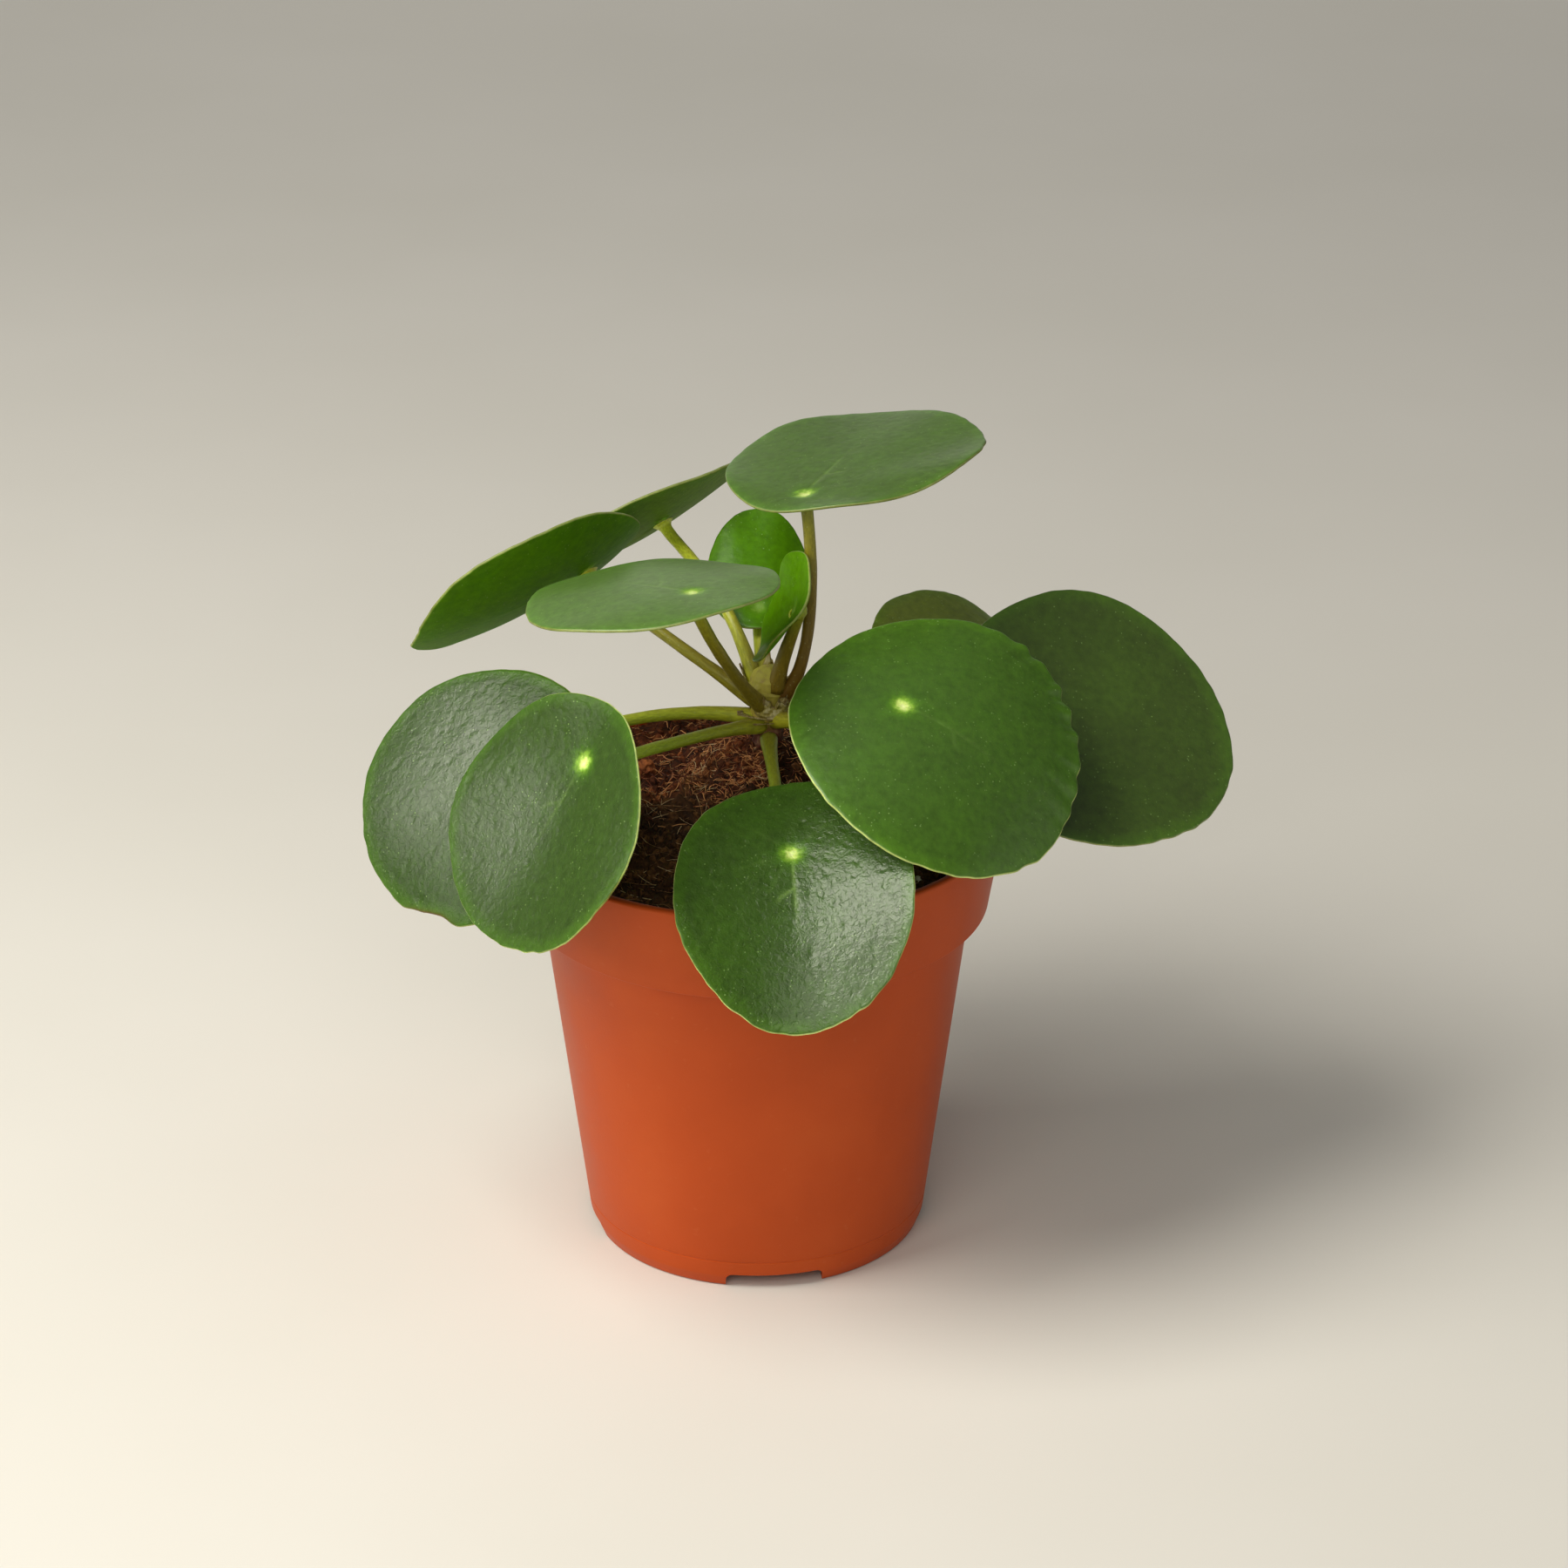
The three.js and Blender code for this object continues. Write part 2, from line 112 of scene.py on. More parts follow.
def pot_wall(height):
    """The wall's outer radius at a height below the collar."""
    share = (height - FOOT_TOP) / (COLLAR_FOOT - FOOT_TOP)
    return blend_of(WALL_FOOT_RADIUS, WALL_TOP_RADIUS, share)


def collar(height):
    """The collar's outer radius at a height."""
    share = (height - COLLAR_FOOT) / (COLLAR_TOP - COLLAR_FOOT)
    return blend_of(COLLAR_RADIUS, RIM_RADIUS, share)


def rounded(corners, steps):
    """An outline of (x, y, rounding) corners as points, each corner turned into an arc."""
    points = []
    for i, (x, y, rounding) in enumerate(corners):
        corner = Vector((x, y))
        if not rounding or i in (0, len(corners) - 1):
            points.append((x, y))
            continue
        before = (Vector(corners[i - 1][:2]) - corner).normalized()
        after = (Vector(corners[i + 1][:2]) - corner).normalized()
        half = before.angle(after) / 2
        reach = rounding / math.tan(half)
        centre = corner + (before + after).normalized() * (rounding / math.sin(half))
        start = corner + before * reach - centre
        sweep = start.angle_signed(corner + after * reach - centre)
        for step in range(steps + 1):
            turn = -sweep * step / steps
            spoke = Vector((
                start.x * math.cos(turn) - start.y * math.sin(turn),
                start.x * math.sin(turn) + start.y * math.cos(turn),
            ))
            points.append(tuple(centre + spoke))
    return points


def mesh_piece(name, points, faces, material, smooth=True):
    """A mesh object from points in millimetres off the pot's axis at its foot."""
    mesh = bpy.data.meshes.new(name)
    places = np.asarray(points, float) * MM + np.array(FOOT)
    mesh.from_pydata(places.tolist(), [], faces)
    if material:
        mesh.materials.append(material)
    if smooth:
        mesh.shade_smooth()
    piece = bpy.data.objects.new(name, mesh)
    bpy.context.collection.objects.link(piece)
    return piece


def turned(outline, sides, wobble=None):
    """Points and faces of an outline of (radius, height) turned about the axis from foot to top.
    Its first and last points are on the axis. wobble(angle, height) is added to the radius."""
    points = [(0, 0, outline[0][1])]
    faces = []
    rings = outline[1:-1]
    for radius, height in rings:
        for i in range(sides):
            angle = 2 * math.pi * i / sides
            reach = radius + (wobble(angle, height) if wobble else 0)
            points.append((reach * math.cos(angle), reach * math.sin(angle), height))
    last = len(points)
    points.append((0, 0, outline[-1][1]))
    for i in range(sides):
        after = (i + 1) % sides
        faces.append((0, 1 + after, 1 + i))
        for ring in range(len(rings) - 1):
            low = 1 + ring * sides
            high = low + sides
            faces.append((low + i, low + after, high + after, high + i))
        faces.append((last - sides + i, last - sides + after, last))
    return points, faces


def radial_bar(bar, angle, low, high):
    """Points and faces of a bar with rounded upper corners that lies outwards along a radius."""
    half = bar["wide"] / 2
    corners = [(-half, low, 0), (-half, high, bar["corner"]), (half, high, bar["corner"])]
    outline = rounded(corners + [(half, low, 0)], CORNER_STEPS)
    count = len(outline)
    points = []
    for radius in (bar["from"], bar["to"]):
        for side, height in outline:
            points.append((
                radius * math.cos(angle) - side * math.sin(angle),
                radius * math.sin(angle) + side * math.cos(angle),
                height,
            ))
    faces = [tuple(range(count)), tuple(range(2 * count - 1, count - 1, -1))]
    for i in range(count):
        after = (i + 1) % count
        faces.append((i, count + i, count + after, after))
    return points, faces


def linear(colour):
    """An sRGB hex colour as a linear colour with alpha."""
    channels = [int(colour[i:i + 2], 16) / 255 for i in (1, 3, 5)]
    return [c / 12.92 if c <= 0.04045 else ((c + 0.055) / 1.055) ** 2.4 for c in channels] + [1]


def add_node(tree, kind, sockets=None, stops=None, **settings):
    """Adds a node with its settings. sockets gives each input, by name or number, a value or the
    output that feeds it, and stops gives a colour ramp its (place, hex colour) pairs."""
    made = tree.nodes.new(kind)
    for name, value in settings.items():
        setattr(made, name, value)
    for key, value in (sockets or {}).items():
        if isinstance(value, bpy.types.NodeSocket):
            tree.links.new(value, made.inputs[key])
        else:
            made.inputs[key].default_value = value
    if stops:
        ramp = made.color_ramp.elements
        while len(ramp) < len(stops):
            ramp.new(1)
        for element, (where, colour) in zip(ramp, stops):
            element.position = where
            element.color = linear(colour)
    return made


def new_finish(name):
    """An empty material and its node tree."""
    material = bpy.data.materials.new(name)
    material.use_nodes = True
    material.node_tree.nodes.clear()
    return material, material.node_tree


def knots(millimetres):
    """The Scale of a noise or cell pattern whose knots are this many millimetres apart."""
    return 1 / (millimetres * MM)


def moulded_polypropylene():
    """Satin moulded plastic: an even brick orange, a touch paler where it is rubbed, with a
    slight orange-peel skin that softens the light's edge. The real skin is finer than the
    render shows, so its knots are drawn coarser, 0.6 mm apart."""
    material, tree = new_finish("moulded_polypropylene")
    where = add_node(tree, "ShaderNodeTexCoord").outputs["Object"]
    clouds = add_node(
        tree, "ShaderNodeTexNoise", {"Vector": where, "Scale": knots(26.3), "Detail": 4},
    )
    body = add_node(
        tree, "ShaderNodeValToRGB", {0: clouds.outputs[0]},
        stops=[(0.3, "#B44818"), (0.55, "#BA4C1B"), (0.75, "#BE511F")],
    )
    scuffs = add_node(
        tree, "ShaderNodeTexNoise", {"Vector": where, "Scale": knots(2.38), "Detail": 3},
    )
    scuff_mask = add_node(
        tree, "ShaderNodeMapRange",
        {"Value": scuffs.outputs[0], "From Min": 0.66, "From Max": 0.78, "To Max": 0.22},
    )
    colour = add_node(
        tree, "ShaderNodeMixRGB",
        {"Fac": scuff_mask.outputs[0], "Color1": body.outputs[0], "Color2": linear("#C66A3C")},
    )
    gloss = add_node(
        tree, "ShaderNodeMapRange",
        {"Value": clouds.outputs[0], "From Min": 0.3, "From Max": 0.7, "To Min": 0.4, "To Max": 0.5},
    )
    skin = add_node(
        tree, "ShaderNodeTexNoise", {"Vector": where, "Scale": knots(0.625), "Detail": 2},
    )
    skin_bump = add_node(
        tree, "ShaderNodeBump",
        {"Height": skin.outputs[0], "Strength": 0.12, "Distance": 0.0002},
    )
    surface = add_node(tree, "ShaderNodeBsdfPrincipled", {
        "Base Color": colour.outputs[0],
        "Roughness": gloss.outputs[0],
        "Specular IOR Level": 0.16,
        "Normal": skin_bump.outputs[0],
        "IOR": 1.49,
    })
    add_node(tree, "ShaderNodeOutputMaterial", {"Surface": surface.outputs[0]})
    return material


pot_outline = rounded([
    (0, FLOOR_UNDER, 0),
    (FOOT_INNER_RADIUS, FLOOR_UNDER, 0.7),
    (FOOT_INNER_RADIUS, 0, 0.4),
    (FOOT_RADIUS, 0, 0.5),
    (WALL_FOOT_RADIUS, FOOT_TOP, 2.5),
    (pot_wall(MOULD_LINE - MOULD_LINE_HALF), MOULD_LINE - MOULD_LINE_HALF, 0.1),
    (pot_wall(MOULD_LINE) - MOULD_LINE_DEPTH, MOULD_LINE, 0.05),
    (pot_wall(MOULD_LINE + MOULD_LINE_HALF), MOULD_LINE + MOULD_LINE_HALF, 0.1),
    (pot_wall(WALL_MIDDLE), WALL_MIDDLE, 1),
    (WALL_TOP_RADIUS, COLLAR_FOOT, 0.5),
    (COLLAR_RADIUS, COLLAR_FOOT, 0.6),
    (collar(COLLAR_TOP - 4.5), COLLAR_TOP - 4.5, 1),
    (RIM_RADIUS, COLLAR_TOP, 0.8),
    (RIM_RADIUS - LIP_MM, COLLAR_TOP, 0.35),
    (RIM_RADIUS - LIP_MM - 0.2, COLLAR_TOP - 0.7, 0.2),
    (collar(COLLAR_TOP - 2.5) - LIP_MM - 0.1, COLLAR_TOP - 2.5, 0.4),
    (collar(COLLAR_SHELF) - WALL_MM, COLLAR_SHELF, 0.5),
    (pot_wall(COLLAR_FOOT) - WALL_MM, COLLAR_SHELF, 0.5),
    (pot_wall(FLOOR_TOP) - WALL_MM, FLOOR_TOP, 0.8),
    (0, FLOOR_TOP, 0),
], ROUNDING_STEPS)
polypropylene = moulded_polypropylene()
pot = mesh_piece("nursery_pot", *turned(pot_outline, POT_SIDES), polypropylene, smooth=False)
cut_points = []
cut_faces = []
for i in range(NOTCH["count"]):
    angle = math.radians(NOTCH["first"] + 360 / NOTCH["count"] * i)
    for points, faces in (
        radial_bar(NOTCH, angle, -1, NOTCH["tall"]),
        radial_bar(SLOT, angle, SLOT["low"], SLOT["high"]),
    ):
        first = len(cut_points)
        cut_points += points
        cut_faces += [tuple(first + corner for corner in face) for face in faces]
drains = mesh_piece("drains", cut_points, cut_faces, None, smooth=False)


def plain_mesh(piece):
    """Puts a piece's evaluated mesh in place of its own, and drops its modifiers."""
    depsgraph = bpy.context.evaluated_depsgraph_get()
    shown = piece.evaluated_get(depsgraph)
    mesh = bpy.data.meshes.new_from_object(shown, preserve_all_data_layers=True, depsgraph=depsgraph)
    piece.modifiers.clear()
    piece.data = mesh
    return piece


cut = pot.modifiers.new("drain_cuts", "BOOLEAN")
cut.operation = "DIFFERENCE"
cut.solver = "EXACT"
cut.use_self = True
cut.object = drains
plain_mesh(pot)
bpy.data.objects.remove(drains)
pot.data.shade_smooth()
pot.data.set_sharp_from_angle(angle=math.radians(SHARPEST_SMOOTH))
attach(pot, "root")
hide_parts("pot")


# ---- The peat ----
# Dark sphagnum peat, damp, filled to 4 mm under the lip and rising to the plant. It is crumbs
# and small clods, bound by fine pale roots, with a few white grains of perlite.

STEM_X = 3
STEM_Y = 18
PLUG_RADIUS = 22
PEAT_RADIUS = 56.6
PEAT_SKIRT = 96
PEAT_RINGS = 74
PEAT_LEVEL = 104.8
PEAT_RISE = 4.6
PEAT_SPREAD = 34
SUNK_UNDER_PLUG = 5
# A heap against the rim: its place, its height and how far it spreads each way.
HEAP = {"x": -26, "y": 48, "high": 3.8, "wide": 24, "deep": 13}
# The ground's knobs, coarse to fine: their height and how far apart they are.
PEAT_KNOBS = ((1.3, 7), (0.9, 2.6), (0.4, 1.2))
# Near the pot's wall the crumbs get smaller over this distance, so that none pokes through it.
EDGE_ROOM = 4
# Knots of noise in a metre: clumps of crumbs or threads 6 mm apart, and knobs 1 mm wide on them.
CLUMPS_PER_METRE = 170
KNOBS_PER_METRE = 900


def lumps(x, y, size):
    """Uneven ground: three crossed swells."""
    swell = math.sin(0.31 * x + 1.3) * math.cos(0.27 * y - 0.4)
    knobs = math.sin(0.53 * x - 0.38 * y) + math.sin(0.22 * x + 0.61 * y + 2)
    return size * (0.6 * swell + 0.4 * knobs)


def rough(x, y, grain, seed):
    """A smooth random height from -1 to 1 with hollows and knobs about as wide as grain."""
    return 2 * noise.noise(Vector((x / grain, y / grain, seed)))


def hillock(x, y, hill):
    """The height that a rounded hill or, below 0, a hollow adds at a place."""
    across = (x - hill["x"]) / hill["wide"]
    along = (y - hill["y"]) / hill["deep"]
    return hill["high"] * math.exp(-across ** 2 - along ** 2)


def knobbed(x, y, knobs, seed):
    """The height that layers of knobs add at a place."""
    return sum(high * rough(x, y, apart, seed + i) for i, (high, apart) in enumerate(knobs))


def peat_top(x, y):
    """The peat's height at a place: it is heaped against the rim at the back left, and sinks
    under the plug, which has its own surface."""
    away = math.hypot(x - STEM_X, y - STEM_Y)
    height = PEAT_LEVEL + PEAT_RISE * math.exp(-(away / PEAT_SPREAD) ** 2) + lumps(x, y, 0.55)
    height += hillock(x, y, HEAP) + knobbed(x, y, PEAT_KNOBS, 1)
    return height - SUNK_UNDER_PLUG * max(0, 1 - away / (PLUG_RADIUS - 2)) ** 0.5


COIR_TUFTS = (
    {"x": -22, "y": 21, "high": 1.2, "wide": 4, "deep": 7},
    {"x": -3, "y": 8, "high": 1.1, "wide": 9, "deep": 6},
)


def coir_share(x, y):
    """How much of the ground is shredded coir: most of it behind the stem, little in front but
    for a tuft at the left and one right before the stem. It fades in over 16 mm past a ragged
    line that runs askew behind the stem."""
    behind = (y - 10 - 0.35 * x + 9 * rough(x, y, 14, 9)) / 16
    tufts = sum(hillock(x, y, tuft) for tuft in COIR_TUFTS)
    return min(1, max(0, behind, tufts))


def add_float(mesh, name, values):
    """Stores one number a point under a name that the finish reads."""
    mesh.attributes.new(name, "FLOAT", "POINT").data.foreach_set("value", values)


def disc_net(rings):
    """A disc of rings with 6, 12, 18... points about its middle: each point's share of the
    radius and its angle, its triangles, facing up where angles grow anticlockwise, and the
    numbers of its outer ring's points."""
    shares = [0.0]
    angles = [0.0]
    faces = []
    inner = [0]
    for ring in range(1, rings + 1):
        first = len(shares)
        outer = list(range(first, first + 6 * ring))
        for i in range(6 * ring):
            shares.append(ring / rings)
            angles.append(2 * math.pi * i / (6 * ring))
        for side in range(6):
            for i in range(ring):
                a = outer[side * ring + i]
                b = outer[(side * ring + i + 1) % len(outer)]
                c = inner[(side * (ring - 1) + i) % len(inner)]
                faces.append((c, a, b))
                if i < ring - 1:
                    faces.append((c, b, inner[(side * (ring - 1) + i + 1) % len(inner)]))
        inner = outer
    return np.array(shares), np.array(angles), faces, inner


def mound(name, radius, rings, top, skirt, centre, material):
    """A closed mound: a fine uneven top and a skirt down from its edge to a flat underside.
    skirt gives (radius, height) pairs, and centre the place of its axis. Each point also knows
    its share of coir, and its room: 0 at the edge and 1 a little inside it."""
    shares, angles, faces, edge = disc_net(rings)
    edge_angles = [angles[corner] for corner in edge]
    points = []
    for share, angle in zip(shares, angles):
        x = radius * share * math.cos(angle)
        y = radius * share * math.sin(angle)
        points.append((x + centre[0], y + centre[1], top(x, y)))
    for skirt_radius, height in skirt:
        lower = []
        for angle in edge_angles:
            lower.append(len(points))
            points.append((
                centre[0] + skirt_radius * math.cos(angle),
                centre[1] + skirt_radius * math.sin(angle),
                height,
            ))
        for i in range(len(edge)):
            after = (i + 1) % len(edge)
            faces.append((edge[i], lower[i], lower[after], edge[after]))
        edge = lower
    middle = len(points)
    points.append((centre[0], centre[1], skirt[-1][1]))
    for i in range(len(edge)):
        faces.append((edge[(i + 1) % len(edge)], edge[i], middle))
    piece = mesh_piece(name, points, faces, material)
    add_float(piece.data, "coir", [coir_share(x, y) for x, y, z in points])
    reach = [math.hypot(x - centre[0], y - centre[1]) for x, y, z in points]
    add_float(piece.data, "room", [min(1, max(0, (radius - away) / EDGE_ROOM)) for away in reach])
    return piece


def damp_ground():
    """Damp peat, nearly black in its pores and dark brown on its crumbs, that turns to red-brown
    coir dust where the coir is. It has next to no gloss. Its real dust is finer than the render
    shows, so it is drawn coarser, in knots 1.1 mm apart."""
    material, tree = new_finish("damp_ground")
    where = add_node(tree, "ShaderNodeTexCoord").outputs["Object"]
    patches = add_node(
        tree, "ShaderNodeTexNoise", {"Vector": where, "Scale": knots(11.1), "Detail": 3},
    )
    grains = add_node(
        tree, "ShaderNodeTexNoise", {"Vector": where, "Scale": knots(1.11), "Detail": 4},
    )
    tint = add_node(tree, "ShaderNodeAttribute", attribute_name="tint")
    mixed = add_node(
        tree, "ShaderNodeMath", {0: patches.outputs[0], 1: grains.outputs[0]}, operation="ADD",
    )
    shade = add_node(
        tree, "ShaderNodeMath", {0: tint.outputs["Fac"], 1: 0.3, 2: mixed.outputs[0]},
        operation="MULTIPLY_ADD",
    )
    spread = add_node(
        tree, "ShaderNodeMapRange", {"Value": shade.outputs[0], "From Min": 0.75, "From Max": 1.5},
    )
    peat_brown = add_node(
        tree, "ShaderNodeValToRGB", {0: spread.outputs[0]},
        stops=[(0.0, "#1B1007"), (0.5, "#462B16"), (1.0, "#80572F")],
    )
    coir_brown = add_node(
        tree, "ShaderNodeValToRGB", {0: spread.outputs[0]},
        stops=[(0.0, "#1C0B05"), (0.5, "#5A2A12"), (1.0, "#B4683A")],
    )
    coir_here = add_node(tree, "ShaderNodeAttribute", attribute_name="coir")
    colour = add_node(tree, "ShaderNodeMixRGB", {
        "Fac": coir_here.outputs["Fac"],
        "Color1": peat_brown.outputs[0],
        "Color2": coir_brown.outputs[0],
    })
    bump = add_node(
        tree, "ShaderNodeBump", {"Height": grains.outputs[0], "Strength": 0.8, "Distance": 0.0006},
    )
    surface = add_node(tree, "ShaderNodeBsdfPrincipled", {
        "Base Color": colour.outputs[0],
        "Roughness": 0.88,
        "Specular IOR Level": 0.3,
        "Normal": bump.outputs[0],
    })
    add_node(tree, "ShaderNodeOutputMaterial", {"Surface": surface.outputs[0]})
    return material


def new_growth(name, sizes):
    """A Geometry Nodes tree with a mesh in and out and the named inputs, and its input node."""
    tree = bpy.data.node_groups.new(name, "GeometryNodeTree")
    ports = tree.interface
    ports.new_socket("Geometry", in_out="INPUT", socket_type="NodeSocketGeometry")
    for size, kind in sizes.items():
        ports.new_socket(size, in_out="INPUT", socket_type=kind)
    ports.new_socket("Geometry", in_out="OUTPUT", socket_type="NodeSocketGeometry")
    return tree, add_node(tree, "NodeGroupInput").outputs


def points_on_top(tree, given):
    """Random points in clumps on the faces that look up, each with a random tint from 0 to 1."""
    normal = add_node(tree, "GeometryNodeInputNormal")
    upright = add_node(tree, "ShaderNodeSeparateXYZ", {0: normal.outputs[0]})
    facing_up = add_node(
        tree, "ShaderNodeMath", {0: upright.outputs["Z"], 1: 0.35}, operation="GREATER_THAN",
    )
    coir_here = add_node(
        tree, "GeometryNodeInputNamedAttribute", {"Name": "coir"}, data_type="FLOAT",
    )
    even = add_node(tree, "ShaderNodeMapRange", {
        "Value": coir_here.outputs[0],
        "To Min": given["On Peat"],
        "To Max": given["On Coir"],
    })
    clumps = add_node(tree, "ShaderNodeTexNoise", {"Scale": CLUMPS_PER_METRE, "Detail": 1})
    clumped = add_node(
        tree, "ShaderNodeMapRange",
        {"Value": clumps.outputs[0], "From Min": 0.42, "From Max": 0.62, "To Min": 0.2, "To Max": 2.2},
    )
    density = add_node(
        tree, "ShaderNodeMath", {0: even.outputs[0], 1: clumped.outputs[0]}, operation="MULTIPLY",
    )
    points = add_node(tree, "GeometryNodeDistributePointsOnFaces", {
        "Mesh": given["Geometry"],
        "Selection": facing_up.outputs[0],
        "Density": density.outputs[0],
        "Seed": given["Seed"],
    })
    tint = add_node(tree, "FunctionNodeRandomValue", {"Seed": given["Seed"]}, data_type="FLOAT")
    return add_node(tree, "GeometryNodeStoreNamedAttribute", {
        "Geometry": points.outputs["Points"],
        "Name": "tint",
        "Value": tint.outputs[1],
    }, data_type="FLOAT", domain="POINT").outputs[0]


def random_size(tree, low, high, seed_offset, power):
    """A random size between two, with more small ones the higher the power."""
    chance = add_node(
        tree, "FunctionNodeRandomValue", {"Seed": seed_offset}, data_type="FLOAT",
    ).outputs[1]
    rare = add_node(tree, "ShaderNodeMath", {0: chance, 1: power}, operation="POWER").outputs[0]
    return add_node(
        tree, "ShaderNodeMapRange", {"Value": rare, "To Min": low, "To Max": high},
    ).outputs[0]


# Crumbs: small rough lumps, strewn over whatever looks up. Smallest and Largest are radii, and
# a lump is smaller where there is little room beside it.
crumbs, given = new_growth("crumbs", {
    "On Peat": "NodeSocketFloat",
    "On Coir": "NodeSocketFloat",
    "Smallest": "NodeSocketFloat",
    "Largest": "NodeSocketFloat",
    "Roughness": "NodeSocketFloat",
    "Detail": "NodeSocketInt",
    "Seed": "NodeSocketInt",
    "Material": "NodeSocketMaterial",
})
grain = add_node(
    crumbs, "GeometryNodeMeshIcoSphere", {"Radius": 1.0, "Subdivisions": given["Detail"]},
)
turn_any_way = add_node(
    crumbs, "FunctionNodeRandomValue", {1: (6.3, 6.3, 6.3), "Seed": 3}, data_type="FLOAT_VECTOR",
)
flatness = add_node(
    crumbs, "FunctionNodeRandomValue", {0: (0.7, 0.7, 0.5), 1: (1.3, 1.2, 1.0), "Seed": 4},
    data_type="FLOAT_VECTOR",
)
size = random_size(crumbs, given["Smallest"], given["Largest"], 5, 3)
room = add_node(
    crumbs, "GeometryNodeInputNamedAttribute", {"Name": "room"}, data_type="FLOAT",
).outputs[0]
room_share = add_node(crumbs, "ShaderNodeMapRange", {"Value": room, "To Min": 0.3, "To Max": 1})
fitted = add_node(
    crumbs, "ShaderNodeMath", {0: size, 1: room_share.outputs[0]}, operation="MULTIPLY",
).outputs[0]
grain_scale = add_node(
    crumbs, "ShaderNodeVectorMath", {0: flatness.outputs[0], "Scale": fitted}, operation="SCALE",
)
strewn = add_node(crumbs, "GeometryNodeInstanceOnPoints", {
    "Points": points_on_top(crumbs, given),
    "Instance": grain.outputs[0],
    "Rotation": turn_any_way.outputs[0],
    "Scale": grain_scale.outputs[0],
})
loose = add_node(crumbs, "GeometryNodeRealizeInstances", {0: strewn.outputs[0]})
crumb_noise = add_node(crumbs, "ShaderNodeTexNoise", {"Scale": KNOBS_PER_METRE, "Detail": 1})
crumb_shift = add_node(
    crumbs, "ShaderNodeVectorMath", {0: crumb_noise.outputs[1], 1: (0.5, 0.5, 0.5)},
    operation="SUBTRACT",
)
crumb_push = add_node(
    crumbs, "ShaderNodeVectorMath", {0: crumb_shift.outputs[0], "Scale": given["Roughness"]},
    operation="SCALE",
)
knobbly = add_node(
    crumbs, "GeometryNodeSetPosition", {0: loose.outputs[0], "Offset": crumb_push.outputs[0]},
)
crumb_finish = add_node(
    crumbs, "GeometryNodeSetMaterial", {0: knobbly.outputs[0], "Material": given["Material"]},
)
add_node(crumbs, "NodeGroupOutput", {0: crumb_finish.outputs[0]})

# Fibres: thin curved threads that lie along the surface, or stand a little off it.
fibres, given = new_growth("fibres", {
    "On Peat": "NodeSocketFloat",
    "On Coir": "NodeSocketFloat",
    "Shortest": "NodeSocketFloat",
    "Longest": "NodeSocketFloat",
    "Thickness": "NodeSocketFloat",
    "Curl": "NodeSocketFloat",
    "Curls per Metre": "NodeSocketFloat",
    "Lift": "NodeSocketFloat",
    "Steps": "NodeSocketInt",
    "Seed": "NodeSocketInt",
    "Material": "NodeSocketMaterial",
})
thread = add_node(fibres, "GeometryNodeCurvePrimitiveLine", {
    "Start": (-0.5, 0, 0),
    "End": (0.5, 0, 0),
})
stepped = add_node(
    fibres, "GeometryNodeResampleCurve", {"Curve": thread.outputs[0], "Count": given["Steps"]},
)
spin = add_node(
    fibres, "FunctionNodeRandomValue", {0: (0, -0.35, 0), 1: (0, 0.35, 6.3), "Seed": 6},
    data_type="FLOAT_VECTOR",
)
length = random_size(fibres, given["Shortest"], given["Longest"], 7, 1.5)
thread_scale = add_node(fibres, "ShaderNodeCombineXYZ", {0: length, 1: length, 2: length})
laid = add_node(fibres, "GeometryNodeInstanceOnPoints", {
    "Points": points_on_top(fibres, given),
    "Instance": stepped.outputs[0],
    "Rotation": spin.outputs[0],
    "Scale": thread_scale.outputs[0],
})
threads = add_node(fibres, "GeometryNodeRealizeInstances", {0: laid.outputs[0]})
own = add_node(
    fibres, "GeometryNodeInputNamedAttribute", {"Name": "tint"}, data_type="FLOAT",
).outputs[0]
own_place = add_node(fibres, "ShaderNodeMath", {0: own, 1: 80}, operation="MULTIPLY")
here = add_node(fibres, "GeometryNodeInputPosition").outputs[0]
curl_noise = add_node(fibres, "ShaderNodeTexNoise", {
    "Vector": here,
    "W": own_place.outputs[0],
    "Scale": given["Curls per Metre"],
    "Detail": 1,
}, noise_dimensions="4D")
curl_shift = add_node(
    fibres, "ShaderNodeVectorMath", {0: curl_noise.outputs[1], 1: (0.5, 0.5, 0.5)},
    operation="SUBTRACT",
)
curl_push = add_node(
    fibres, "ShaderNodeVectorMath", {0: curl_shift.outputs[0], "Scale": given["Curl"]},
    operation="SCALE",
)
curled = add_node(
    fibres, "GeometryNodeSetPosition", {0: threads.outputs[0], "Offset": curl_push.outputs[0]},
)
ground = add_node(fibres, "GeometryNodeProximity", {0: given["Geometry"]}, target_element="FACES")
rise = add_node(
    fibres, "ShaderNodeSeparateXYZ", {0: curl_shift.outputs[0]},
).outputs["Z"]
rise_share = add_node(
    fibres, "ShaderNodeMapRange",
    {"Value": rise, "From Min": -0.1, "From Max": 0.25, "To Min": 0.0, "To Max": given["Lift"]},
)
lift = add_node(fibres, "ShaderNodeCombineXYZ", {"Z": rise_share.outputs[0]})
bedded = add_node(fibres, "GeometryNodeSetPosition", {
    0: curled.outputs[0],
    "Position": ground.outputs["Position"],
    "Offset": lift.outputs[0],
})
bedded_place = add_node(fibres, "GeometryNodeInputPosition").outputs[0]
eased_place = add_node(
    fibres, "GeometryNodeBlurAttribute", {"Value": bedded_place, "Iterations": 3},
    data_type="FLOAT_VECTOR",
)
eased = add_node(
    fibres, "GeometryNodeSetPosition", {0: bedded.outputs[0], "Position": eased_place.outputs[0]},
)
along = add_node(fibres, "GeometryNodeSplineParameter").outputs["Factor"]
